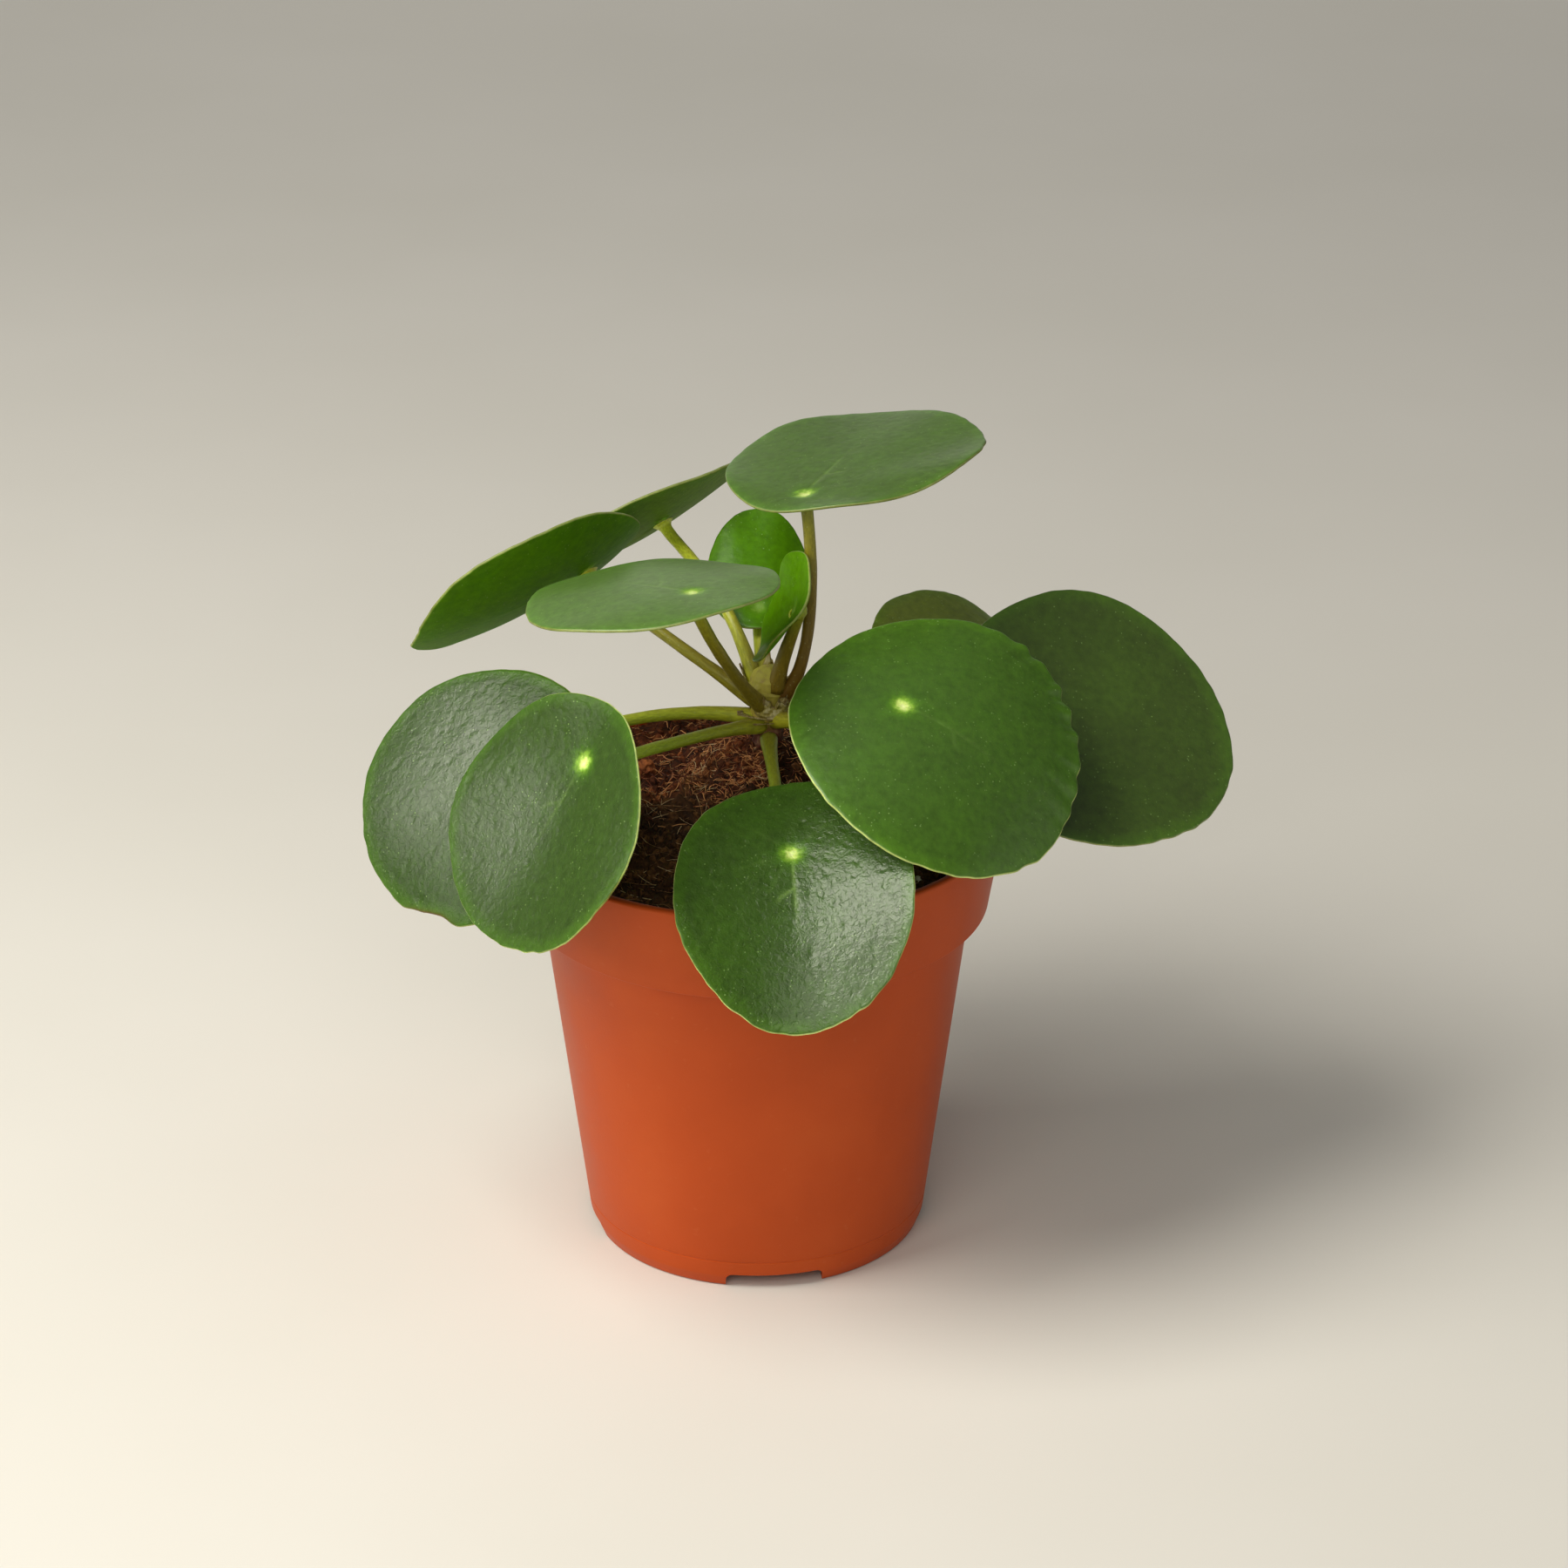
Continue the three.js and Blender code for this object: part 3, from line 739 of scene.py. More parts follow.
arch = add_node(fibres, "ShaderNodeMath", {0: along, 1: math.pi}, operation="MULTIPLY")
swell = add_node(fibres, "ShaderNodeMath", {0: arch.outputs[0]}, operation="SINE")
taper = add_node(
    fibres, "ShaderNodeMapRange", {"Value": swell.outputs[0], "To Min": 0.35, "To Max": 1.0},
)
girth = add_node(
    fibres, "ShaderNodeMath", {0: taper.outputs[0], 1: given["Thickness"]}, operation="MULTIPLY",
)
section = add_node(fibres, "GeometryNodeCurvePrimitiveCircle", {"Resolution": 3, "Radius": 0.5})
skinned = add_node(fibres, "GeometryNodeCurveToMesh", {
    "Curve": eased.outputs[0],
    "Profile Curve": section.outputs[0],
    "Scale": girth.outputs[0],
    "Fill Caps": True,
})
fibre_finish = add_node(
    fibres, "GeometryNodeSetMaterial", {0: skinned.outputs[0], "Material": given["Material"]},
)
add_node(fibres, "NodeGroupOutput", {0: fibre_finish.outputs[0]})


def grow(name, tree, ground_piece, sizes):
    """A plain mesh piece of what a tree grows on another piece."""
    growth = ground_piece.modifiers.new(name, "NODES")
    growth.node_group = tree
    for port in tree.interface.items_tree:
        if port.in_out == "INPUT" and port.name in sizes:
            growth[port.identifier] = sizes[port.name]
    depsgraph = bpy.context.evaluated_depsgraph_get()
    shown = ground_piece.evaluated_get(depsgraph)
    mesh = bpy.data.meshes.new_from_object(shown, preserve_all_data_layers=True, depsgraph=depsgraph)
    ground_piece.modifiers.remove(growth)
    mesh.name = name
    piece = bpy.data.objects.new(name, mesh)
    bpy.context.collection.objects.link(piece)
    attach(piece, "root")
    return piece


def dry_thread(name, dark, middle, pale, roughness):
    """A dry plant fibre: each thread its own tone from dark to pale, with a faint streak. The
    finest real ones are thinner than the render shows, so all are drawn 0.2 mm thick or more."""
    material, tree = new_finish(name)
    where = add_node(tree, "ShaderNodeTexCoord").outputs["Object"]
    tint = add_node(tree, "ShaderNodeAttribute", attribute_name="tint")
    streak = add_node(tree, "ShaderNodeTexNoise", {"Vector": where, "Scale": knots(3.33)})
    tone = add_node(
        tree, "ShaderNodeMath", {0: tint.outputs["Fac"], 1: 0.75, 2: streak.outputs[0]},
        operation="MULTIPLY_ADD",
    )
    colour = add_node(
        tree, "ShaderNodeValToRGB", {0: tone.outputs[0]},
        stops=[(0.45, dark), (0.85, middle), (1.0, pale)],
    )
    surface = add_node(tree, "ShaderNodeBsdfPrincipled", {
        "Base Color": colour.outputs[0],
        "Roughness": roughness,
    })
    add_node(tree, "ShaderNodeOutputMaterial", {"Surface": surface.outputs[0]})
    return material


def puffed_perlite():
    """Perlite: volcanic glass popped white by heat, a matt grain full of tiny pits, drawn darker in the
    pits as painted shade.
    """
    material, tree = new_finish("puffed_perlite")
    where = add_node(tree, "ShaderNodeTexCoord").outputs["Object"]
    pits = add_node(tree, "ShaderNodeTexVoronoi", {"Vector": where, "Scale": knots(0.556)})
    # Darker beige towards the middle of each pit: painted shade in the pits.
    colour = add_node(
        tree, "ShaderNodeValToRGB", {0: pits.outputs[0]},
        stops=[(0.0, "#B9A894"), (0.3, "#E9E2D6"), (1.0, "#F4F0E8")],
    )
    bump = add_node(
        tree, "ShaderNodeBump", {"Height": pits.outputs[0], "Strength": 0.6, "Distance": 0.0003},
    )
    surface = add_node(tree, "ShaderNodeBsdfPrincipled", {
        "Base Color": colour.outputs[0],
        "Roughness": 0.8,
        "Normal": bump.outputs[0],
    })
    add_node(tree, "ShaderNodeOutputMaterial", {"Surface": surface.outputs[0]})
    return material


ground_finish = damp_ground()
peat = mound(
    "peat_bed", PEAT_RADIUS, PEAT_RINGS, peat_top, [(PEAT_RADIUS - 0.6, PEAT_SKIRT)], (0, 0),
    ground_finish,
)
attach(peat, "root")
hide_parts("soil")
peat_crumbs = grow("peat_crumbs", crumbs, peat, {
    "On Peat": 420000.0,
    "On Coir": 300000.0,
    "Smallest": 0.35 * MM,
    "Largest": 1.5 * MM,
    "Roughness": 0.6 * MM,
    "Detail": 1,
    "Seed": 11,
    "Material": ground_finish,
})
peat_clods = grow("peat_clods", crumbs, peat, {
    "On Peat": 14000.0,
    "On Coir": 12000.0,
    "Smallest": 1.1 * MM,
    "Largest": 3.2 * MM,
    "Roughness": 1.8 * MM,
    "Detail": 3,
    "Seed": 12,
    "Material": ground_finish,
})
pale_root = dry_thread("pale_root", "#5E3A1E", "#A87C4E", "#E8C89C", 0.6)
root_hairs = grow("root_hairs", fibres, peat, {
    "On Peat": 46000.0,
    "On Coir": 14000.0,
    "Shortest": 6 * MM,
    "Longest": 26 * MM,
    "Thickness": 0.2 * MM,
    "Curl": 8 * MM,
    "Curls per Metre": 90.0,
    "Lift": 1.4 * MM,
    "Steps": 18,
    "Seed": 13,
    "Material": pale_root,
})
coir_shred = dry_thread("shredded_coir", "#2E1007", "#82391A", "#E6A066", 0.6)
coir_shreds = grow("coir_shreds", fibres, peat, {
    "On Peat": 26000.0,
    "On Coir": 330000.0,
    "Shortest": 2 * MM,
    "Longest": 8 * MM,
    "Thickness": 0.24 * MM,
    "Curl": 7 * MM,
    "Curls per Metre": 190.0,
    "Lift": 1.8 * MM,
    "Steps": 14,
    "Seed": 14,
    "Material": coir_shred,
})
perlite = grow("perlite_grains", crumbs, peat, {
    "On Peat": 1500.0,
    "On Coir": 2600.0,
    "Smallest": 0.5 * MM,
    "Largest": 1.3 * MM,
    "Roughness": 0.8 * MM,
    "Detail": 3,
    "Seed": 16,
    "Material": puffed_perlite(),
})


# ---- The coir plug ----
# The young plant was rooted in a plug of red-brown coconut fibre. Its top stands out of the
# peat round the stem, matted and frayed, with curly fibres that stick out of it.

PLUG_TOP = 117.6
PLUG_EDGE = 108.9
PLUG_RINGS = 40
PLUG_FOOT = 98
PLUG_KNOBS = ((1.5, 4.5), (0.9, 1.8), (0.4, 0.9))
# The dark hole at the plug's left edge.
PLUG_HOLE = {"x": -19, "y": 0, "high": -4.0, "wide": 2.6, "deep": 4}


def plug_top(x, y):
    """The plug's height at a place off the stem's axis."""
    share = math.hypot(x, y) / PLUG_RADIUS
    height = blend_of(PLUG_TOP, PLUG_EDGE, share ** 1.5) + lumps(x + 9, y - 5, 0.5)
    return height + hillock(x, y, PLUG_HOLE) + knobbed(x, y, PLUG_KNOBS, 5)


plug = mound(
    "coir_plug", PLUG_RADIUS, PLUG_RINGS, plug_top,
    [(PLUG_RADIUS + 0.3, PLUG_EDGE - 4), (PLUG_RADIUS - 2, PLUG_FOOT)], (STEM_X, STEM_Y),
    ground_finish,
)
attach(plug, "root")
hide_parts("root_plug")
coir_crumbs = grow("coir_crumbs", crumbs, plug, {
    "On Peat": 500000.0,
    "On Coir": 500000.0,
    "Smallest": 0.3 * MM,
    "Largest": 1.4 * MM,
    "Roughness": 0.7 * MM,
    "Detail": 1,
    "Seed": 21,
    "Material": ground_finish,
})
coir_fibres = grow("coir_fibres", fibres, plug, {
    "On Peat": 300000.0,
    "On Coir": 800000.0,
    "Shortest": 2 * MM,
    "Longest": 8 * MM,
    "Thickness": 0.24 * MM,
    "Curl": 6 * MM,
    "Curls per Metre": 190.0,
    "Lift": 1.8 * MM,
    "Steps": 14,
    "Seed": 22,
    "Material": coir_shred,
})
plug_roots = grow("plug_roots", fibres, plug, {
    "On Peat": 45000.0,
    "On Coir": 45000.0,
    "Shortest": 5 * MM,
    "Longest": 16 * MM,
    "Thickness": 0.24 * MM,
    "Curl": 9 * MM,
    "Curls per Metre": 110.0,
    "Lift": 2.2 * MM,
    "Steps": 16,
    "Seed": 23,
    "Material": pale_root,
})


# ---- The stem ----
# A short woody trunk, maroon brown and ringed with the scars of shed leaves, that swells into
# the olive crown the leaf stalks leave.

STEM_SIDES = 60
STEM_STEP = 0.3
STEM_FOOT = 104.0
NECK_RADIUS = 3.4
CROWN_RADIUS = 4.6
CROWN_ROUND = 5
STEM_TOP = 138.4
SCAR_PITCH = 3.4
SCAR_RIDGE = 0.3


def stem_radius(height):
    """The stem's radius at a height, with a ridge at each scar."""
    rise = max(0, (height - PLUG_TOP) / (STEM_TOP - 6 - PLUG_TOP))
    girth = blend_of(NECK_RADIUS, CROWN_RADIUS, min(1, rise))
    scar = (height - PLUG_TOP) / SCAR_PITCH % 1
    girth += SCAR_RIDGE * math.exp(-((scar - 0.3) / 0.12) ** 2)
    into_crown = (height - STEM_TOP + CROWN_ROUND) / CROWN_ROUND
    return girth * math.sqrt(max(0, 1 - max(0, into_crown) ** 2))


def bark_wobble(angle, height):
    """The bark's knobs, a third of a millimetre high, and shallower wrinkles."""
    x = math.cos(angle)
    y = math.sin(angle)
    knobs = rough(2.5 * x, 2.5 * y + height * 0.5, 1.5, height * 0.3)
    wrinkles = rough(9 * x, 9 * y, 1.1, height * 0.25)
    return 0.35 * knobs + 0.12 * wrinkles


def woody_stem():
    """Young wood: maroon brown at its foot and olive at its crown, with corky flecks."""
    material, tree = new_finish("woody_stem")
    where = add_node(tree, "ShaderNodeTexCoord").outputs["Object"]
    height = add_node(tree, "ShaderNodeSeparateXYZ", {0: where}).outputs["Z"]
    share = add_node(
        tree, "ShaderNodeMapRange",
        {"Value": height, "From Min": (PLUG_TOP + 1) * MM, "From Max": STEM_TOP * MM},
    )
    fade = add_node(
        tree, "ShaderNodeValToRGB", {0: share.outputs[0]},
        stops=[(0.0, "#5E2E24"), (0.2, "#6A3C24"), (0.36, "#A09030"), (1.0, "#C4BC50")],
    )
    flecks = add_node(
        tree, "ShaderNodeTexNoise", {"Vector": where, "Scale": knots(1.43), "Detail": 4},
    )
    cork = add_node(
        tree, "ShaderNodeMapRange",
        {"Value": flecks.outputs[0], "From Min": 0.5, "From Max": 0.75, "To Max": 0.6},
    )
    colour = add_node(
        tree, "ShaderNodeMixRGB",
        {"Fac": cork.outputs[0], "Color1": fade.outputs[0], "Color2": linear("#9A7B4E")},
    )
    bump = add_node(
        tree, "ShaderNodeBump", {"Height": flecks.outputs[0], "Strength": 0.5, "Distance": 0.0004},
    )
    surface = add_node(tree, "ShaderNodeBsdfPrincipled", {
        "Base Color": colour.outputs[0],
        "Roughness": 0.6,
        "Normal": bump.outputs[0],
    })
    add_node(tree, "ShaderNodeOutputMaterial", {"Surface": surface.outputs[0]})
    return material


stem_outline = [(0, STEM_FOOT)]
height = STEM_FOOT
while height < STEM_TOP:
    stem_outline.append((max(0.05, stem_radius(height)), height))
    height += STEM_STEP
stem_outline.append((0, STEM_TOP))
stem_points, stem_faces = turned(stem_outline, STEM_SIDES, bark_wobble)
stem_points = [(x + STEM_X, y + STEM_Y, z) for x, y, z in stem_points]
stem = mesh_piece("stem_trunk", stem_points, stem_faces, woody_stem())
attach(stem, "root")
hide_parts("stem")


# ---- The stipules ----
# Papery tan scales that sheathed the young leaves: thin, pointed or rounded, ragged at their
# edges, standing round the crown between the stalks. The oldest have torn into a fringe.

STIPULE_THICK = 0.22
STIPULE_CURL = 1.15
# heading: degrees round the stem from +X. height and off: where the scale's foot is, up the stem
# and out from its axis. lean: degrees outwards from upright. point: how slim its tip gets.
STIPULES = [
    {"heading": 88, "height": 131.0, "off": 2.6, "wide": 4.6, "long": 10.0, "lean": 0, "point": 0.8},
    {"heading": 158, "height": 130.0, "off": 5.2, "wide": 4.8, "long": 7.6, "lean": 4, "point": 0.9},
    {"heading": -52, "height": 125.8, "off": 5.4, "wide": 6.2, "long": 6.4, "lean": 2, "point": 0.35},
    {"heading": -100, "height": 127.2, "off": 5.4, "wide": 5.0, "long": 5.4, "lean": 2, "point": 0.6},
    {"heading": -142, "height": 126.4, "off": 5.4, "wide": 8.5, "long": 3.2, "lean": 56, "point": 0.3},
    {"heading": -112, "height": 125.4, "off": 5.8, "wide": 6.5, "long": 2.6, "lean": 60, "point": 0.3},
    {"heading": 20, "height": 130.0, "off": 4.0, "wide": 6, "long": 7, "lean": 16, "point": 0.8},
    {"heading": 125, "height": 130.0, "off": 4.0, "wide": 6, "long": 7, "lean": 16, "point": 1.0},
    {"heading": -20, "height": 123.6, "off": 4.8, "wide": 7, "long": 3.0, "lean": 44, "point": 0.3},
]


def papery_stipule():
    """A dead papery scale: straw coloured and half clear, blotched with olive and browner at
    its torn edge."""
    material, tree = new_finish("papery_stipule")
    where = add_node(tree, "ShaderNodeTexCoord").outputs["Object"]
    edge = add_node(tree, "ShaderNodeAttribute", attribute_name="edge").outputs["Fac"]
    clouds = add_node(
        tree, "ShaderNodeTexNoise", {"Vector": where, "Scale": knots(1.43), "Detail": 5},
    )
    blotch = add_node(
        tree, "ShaderNodeValToRGB", {0: clouds.outputs[0]},
        stops=[(0.36, "#857428"), (0.5, "#C6B864"), (0.62, "#ECE2AC")],
    )
    colour = add_node(
        tree, "ShaderNodeMixRGB",
        {"Fac": edge, "Color1": blotch.outputs[0], "Color2": linear("#B49A62")},
    )
    sheen = add_node(tree, "ShaderNodeBsdfPrincipled", {
        "Base Color": colour.outputs[0],
        "Roughness": 0.45,
    })
    glow = add_node(tree, "ShaderNodeBsdfTranslucent", {"Color": colour.outputs[0]})
    surface = add_node(
        tree, "ShaderNodeMixShader", {0: 0.3, 1: sheen.outputs[0], 2: glow.outputs[0]},
    )
    add_node(tree, "ShaderNodeOutputMaterial", {"Surface": surface.outputs[0]})
    return material


def stipule_points(scale, number, columns, rows):
    """Upper and under points of one curled scale, and how near each is to its torn edge."""
    facing = math.radians(scale["heading"])
    out = Vector((math.cos(facing), math.sin(facing), 0))
    side = Vector((-out.y, out.x, 0))
    lean = math.radians(scale["lean"])
    seat = Vector((STEM_X, STEM_Y, scale["height"])) + out * scale["off"]
    sheets = ([], [])
    edges = []
    for row in range(rows + 1):
        up = row / rows
        narrow = (1 - up ** 2.2) ** scale["point"]
        narrow *= 0.75 + 0.35 * math.sin(math.pi * min(1, up + 0.2))
        for column in range(columns + 1):
            across = 2 * column / columns - 1
            torn = rough(9 * across + number * 7, 6 * up, 1.3, number)
            reach = scale["long"] * up * (1 - 0.12 * across ** 2) + 1.1 * torn * up ** 2
            half = scale["wide"] / 2 * narrow * (1 + 0.12 * torn)
            x = half * math.sin(across * STIPULE_CURL) / math.sin(STIPULE_CURL)
            wrap = half * (1 - math.cos(across * STIPULE_CURL)) * 0.9
            bend = lean + 0.2 * up
            wrinkle = 0.25 * rough(4 * across, 5 * up, 1, number + 3)
            middle = seat + side * x - out * wrap
            middle += out * (reach * math.sin(bend) + wrinkle)
            middle += Vector((0, 0, reach * math.cos(bend)))
            sheets[0].append(middle + out * STIPULE_THICK / 2)
            sheets[1].append(middle - out * STIPULE_THICK / 2)
            edges.append(max(abs(across) ** 6, up ** 8))
    return sheets, edges


def sheet_net(columns, rows, count):
    """Faces of a closed sheet of two grids of points and the strip round them."""
    faces = []
    line = columns + 1
    for row in range(rows):
        for column in range(columns):
            a = row * line + column
            faces.append((a, a + 1, a + line + 1, a + line))
            faces.append((count + a, count + a + line, count + a + line + 1, count + a + 1))
    rim = list(range(columns))
    rim += [row * line + columns for row in range(rows)]
    rim += [rows * line + column for column in range(columns, 0, -1)]
    rim += [row * line for row in range(rows, 0, -1)]
    for i, a in enumerate(rim):
        b = rim[(i + 1) % len(rim)]
        faces.append((b, a, count + a, count + b))
    return faces


COLUMNS = 16
ROWS = 20
scale_points = []
scale_faces = []
scale_edges = []
for number, scale in enumerate(STIPULES):
    (outer, inner), edges = stipule_points(scale, number, COLUMNS, ROWS)
    first = len(scale_points)
    scale_points += outer + inner
    scale_edges += edges * 2
    net = sheet_net(COLUMNS, ROWS, len(outer))
    scale_faces += [tuple(first + corner for corner in face) for face in net]
stipules = mesh_piece("stem_stipules", scale_points, scale_faces, papery_stipule())
add_float(stipules.data, "edge", scale_edges)
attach(stipules, "root")
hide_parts("stem")


# ---- The leaf stalks ----
# Twelve round fleshy stalks, 3 mm thick, that leave the crown all round and spread into a
# little cone under each blade. The old ones are olive brown at their foot, the young ones green.

# hub: where the stalk joins its blade. facing and tilt turn the blade's upper side (degrees
# round from +X, and from straight up), turn swings its tip from the downhill line, hub_share is
# the hub's place between base and tip, and drop says how far sides and ends fall below the
# middle as a share of half the width. taper is how much broader the tip's half is than the
# base's. stalk: height on the stem, heading and rise of its first run, and its two handle shares.
# tone: foot, middle and top colour of the stalk. age runs from fresh green at 0 to deep green at
# 1, and lobes is how deep the edge is scalloped. relief and midrib say how strong the hammering
# and the midrib are; the midrib's pale line is partly its own colour and partly a painted
# highlight on its ridge. fold is how far the halves lift. aside moves the hub off the middle, and
# frill and nick are a waved and a torn stretch of the edge: its angle round the blade from the
# tip, its half width and its depth. spot and rim are how bright the hub and the rim are; the rim's
# light line is its own pale margin with a painted highlight along it. gleam is the polished part
# of the skin: its middle across and along from the hub and its half width and length.
# The colour laid over the green, and its share, is a pale grey-green painted sheen on the top and
# mid_left blades, and on the others a tone of their own: olive on right_back and small_back,
# yellowish on back_left and deeper green on front and left_back.
LEAVES = {
    "top": {
        "hub": (11.7, 16, 183.8), "facing": 175, "tilt": 9, "turn": -117, "wide": 63, "long": 63,
        "hub_share": 0.15, "drop": (0.01, 0.02), "taper": 0.06, "stalk": (131, -31, 45, 0.3, 0.17),
        "tone": ("#6C4912", "#846F19", "#979B25"), "age": 0.75, "lobes": 0.35,
        # The pale grey-green laid over this blade is a painted sheen.
        "spot": 0.8, "painted_sheen_and_tone": ("#93A06C", 0.08), "relief": 0.14, "midrib": 0.7,
    },
    "back_left": {
        "hub": (-23.5, 66, 157.2), "facing": 136, "tilt": 40, "turn": 4, "wide": 61, "long": 60,
        "hub_share": 0.38, "drop": (-0.14, -0.09), "taper": 0.06,
        "stalk": (132.5, 142, 70, 0.5, 0.15), "tone": ("#B1B12E", "#BDC736", "#C7D739"),
        "age": 0.6, "lobes": 0.4,
        "painted_sheen_and_tone": ("#A8A060", 0.12), "relief": 0.4, "midrib": 0.2,
    },
    "high_left": {
        "hub": (-41.4, 42, 153.9), "facing": 133, "tilt": 45, "turn": 67, "wide": 65, "long": 63,
        "hub_share": 0.26, "drop": (-0.18, -0.12), "taper": 0.06,
        "stalk": (129.5, 171, 36, 0.37, 0.1), "tone": ("#8C7F20", "#9D9925", "#B9C235"),
        "age": 0.6, "lobes": 0.4,
        "relief": 0.4, "midrib": 0.2,
    },
    "mid_left": {
        "hub": (-14.8, -23, 175), "facing": 128, "tilt": 10, "turn": 7, "wide": 60, "long": 59.5,
        "hub_share": 0.29, "drop": (0.11, 0.05), "taper": 0.06,
        "stalk": (129.5, -119, 42, 0.32, 0.08), "tone": ("#88771E", "#918520", "#ABB12E"),
        "age": 0.5, "lobes": 0.3,
        # The pale grey-green laid over this blade is a painted sheen.
        "spot": 0.7, "painted_sheen_and_tone": ("#9AA87A", 0.14), "relief": 0.18, "midrib": 0.7,
    },
    "young_open": {
        "hub": (0.6, 36, 146.2), "facing": -89, "tilt": 33, "turn": 179, "wide": 25.5, "long": 36,
        "hub_share": 0.19, "drop": (0.19, -0.05), "taper": -0.05,
        "stalk": (135, 100, 16, 0.44, 0.24), "tone": ("#B5B533", "#BCCB36", "#C5D939"),
        "age": 0.1, "lobes": 0.1,
        "spot": 0.15, "relief": 0.25, "midrib": 0.2,
    },
    "young_folded": {
        "hub": (9, 7, 157.6), "facing": -176, "tilt": 64, "turn": -41, "wide": 28, "long": 30,
        "hub_share": 0.4, "drop": (-0.3, -0.08), "taper": -0.15,
        "stalk": (134.5, -57, 78, 0.37, 0.05), "tone": ("#816B1E", "#8E7F22", "#A9B930"),
        "age": 0.0, "lobes": 0.1,
        "spot": 0.1, "relief": 0.2, "midrib": 0.2,
    },
    "right_front": {
        "hub": (34.3, -27, 148), "facing": -59, "tilt": 33, "turn": 36, "wide": 74.4, "long": 70.3,
        "hub_share": 0.34, "drop": (0.11, 0.3), "taper": 0.06,
        "stalk": (125.5, -56, 20, 0.35, 0.25), "tone": ("#B5B127", "#AFC12E", "#B9CF36"),
        "age": 0.7, "lobes": 0.55,
        "rim": 1, "relief": 0.25, "midrib": 0.3, "frill": (-50, 45, 0.42),
        "gleam": (4, -2, 34, 34),
    },
    "right_back": {
        "hub": (79.8, 18, 131.7), "facing": -64, "tilt": 37, "turn": -15, "wide": 73, "long": 71,
        "hub_share": 0.38, "drop": (0.08, -0.07), "taper": 0.06,
        "stalk": (127, -14, 10, 0.35, 0.25), "tone": ("#9F9925", "#A6B52E", "#B5C736"),
        "age": 0.9, "lobes": 0.5,
        "spot": 0, "painted_sheen_and_tone": ("#4A4A10", 0.2), "relief": 0.35, "midrib": 0.1, "aside": 7.5,
    },
    "small_back": {
        "hub": (42.9, 42, 129.5), "facing": -49, "tilt": 25, "turn": 92, "wide": 43, "long": 42.5,
        "hub_share": 0.31, "drop": (0.06, 0.13), "taper": 0.06,
        "stalk": (130, 25, 5, 0.35, 0.25), "tone": ("#9F9925", "#A6B52E", "#B5C736"),
        "age": 0.3, "lobes": 0.4,
        "painted_sheen_and_tone": ("#9C9448", 0.4), "relief": 0.3, "midrib": 0.1,
    },
    "front": {
        "hub": (8.2, -48, 120.4), "facing": -97, "tilt": 35, "turn": 9, "wide": 55.5, "long": 67,
        "hub_share": 0.34, "drop": (-0.12, 0.26), "taper": 0.06,
        "stalk": (120.5, -88, -4, 0.35, 0.25), "tone": ("#A1AD22", "#9FBB25", "#B5CF39"),
        "age": 0.9, "lobes": 0.5, "fold": 0.2,
        "rim": 1, "relief": 1.0, "midrib": 1.0, "gleam": (-18, 24, 24, 36),
        "painted_sheen_and_tone": ("#244208", 0.12),
    },
    "left_front": {
        "hub": (-40.4, -42, 140.8), "facing": -142, "tilt": 59, "turn": -6, "wide": 62.6,
        "long": 61.4, "hub_share": 0.24, "drop": (-0.01, -0.03), "taper": 0.06,
        "stalk": (124, -128, 16, 0.37, 0.06), "tone": ("#AFB129", "#ABC42F", "#BFD93C"),
        "age": 1.05, "lobes": 0.45, "fold": 0.2,
        "rim": 1, "relief": 0.7, "midrib": 0.4, "gleam": (12, 24, 17, 17),
    },
    "left_back": {
        "hub": (-54.1, -14, 131.7), "facing": -126, "tilt": 50, "turn": -31, "wide": 64,
        "long": 64.6, "hub_share": 0.25, "drop": (0.06, 0.13), "taper": 0.06,
        "stalk": (125, -175, 12, 0.5, 0.07), "tone": ("#B9BF35", "#C0D53C", "#C9E140"),
        "age": 1.0, "lobes": 0.5,
        "rim": 0.5, "relief": 0.65, "midrib": 0.2, "nick": (-30, 13, 1.1),
        "gleam": (10, 20, 26, 22), "painted_sheen_and_tone": ("#203A08", 0.22),
    },
}
BLADE_THICK = 0.8
FOLD_WIDTH = 16
FOLD_ROUND = 8
STALK_RADIUS = 1.5
STALK_SIDES = 14
STALK_STEPS = 64
STALK_SEAT = 3.8
STALK_SUNK = 1.2
STALK_STOP = 1
# How much thicker the foot and the cone under the blade are, and how far each reaches.
STALK_FOOT = {"thicker": 0.75, "reach": 4.5}
STALK_CONE = {"thicker": 1.3, "reach": 1.6}


def fold_rise(leaf, across):
    """How far a blade's halves lift beside its midrib, which sinks by half as much."""
    depth = leaf.get("fold", 0.04) * FOLD_WIDTH
    from_midrib = (np.hypot(across, FOLD_ROUND) - FOLD_ROUND) / FOLD_WIDTH
    at_edge = 1 - math.exp((FOLD_ROUND - leaf["wide"] / 2) / FOLD_WIDTH)
    return depth * (1 - np.exp(-from_midrib) - at_edge / 2)


def blade_axes(leaf):
    """The blade's own axes: right across it, tip along it and up out of its upper side."""
    facing, tilt, turn = (math.radians(leaf[key]) for key in ("facing", "tilt", "turn"))
    round_about = Vector((math.cos(facing), math.sin(facing), 0))
    up = round_about * math.sin(tilt) + Vector((0, 0, math.cos(tilt)))
    downhill = round_about * math.cos(tilt) - Vector((0, 0, math.sin(tilt)))
    tip = downhill * math.cos(turn) + up.cross(downhill) * math.sin(turn)
    return tip.cross(up), tip, up


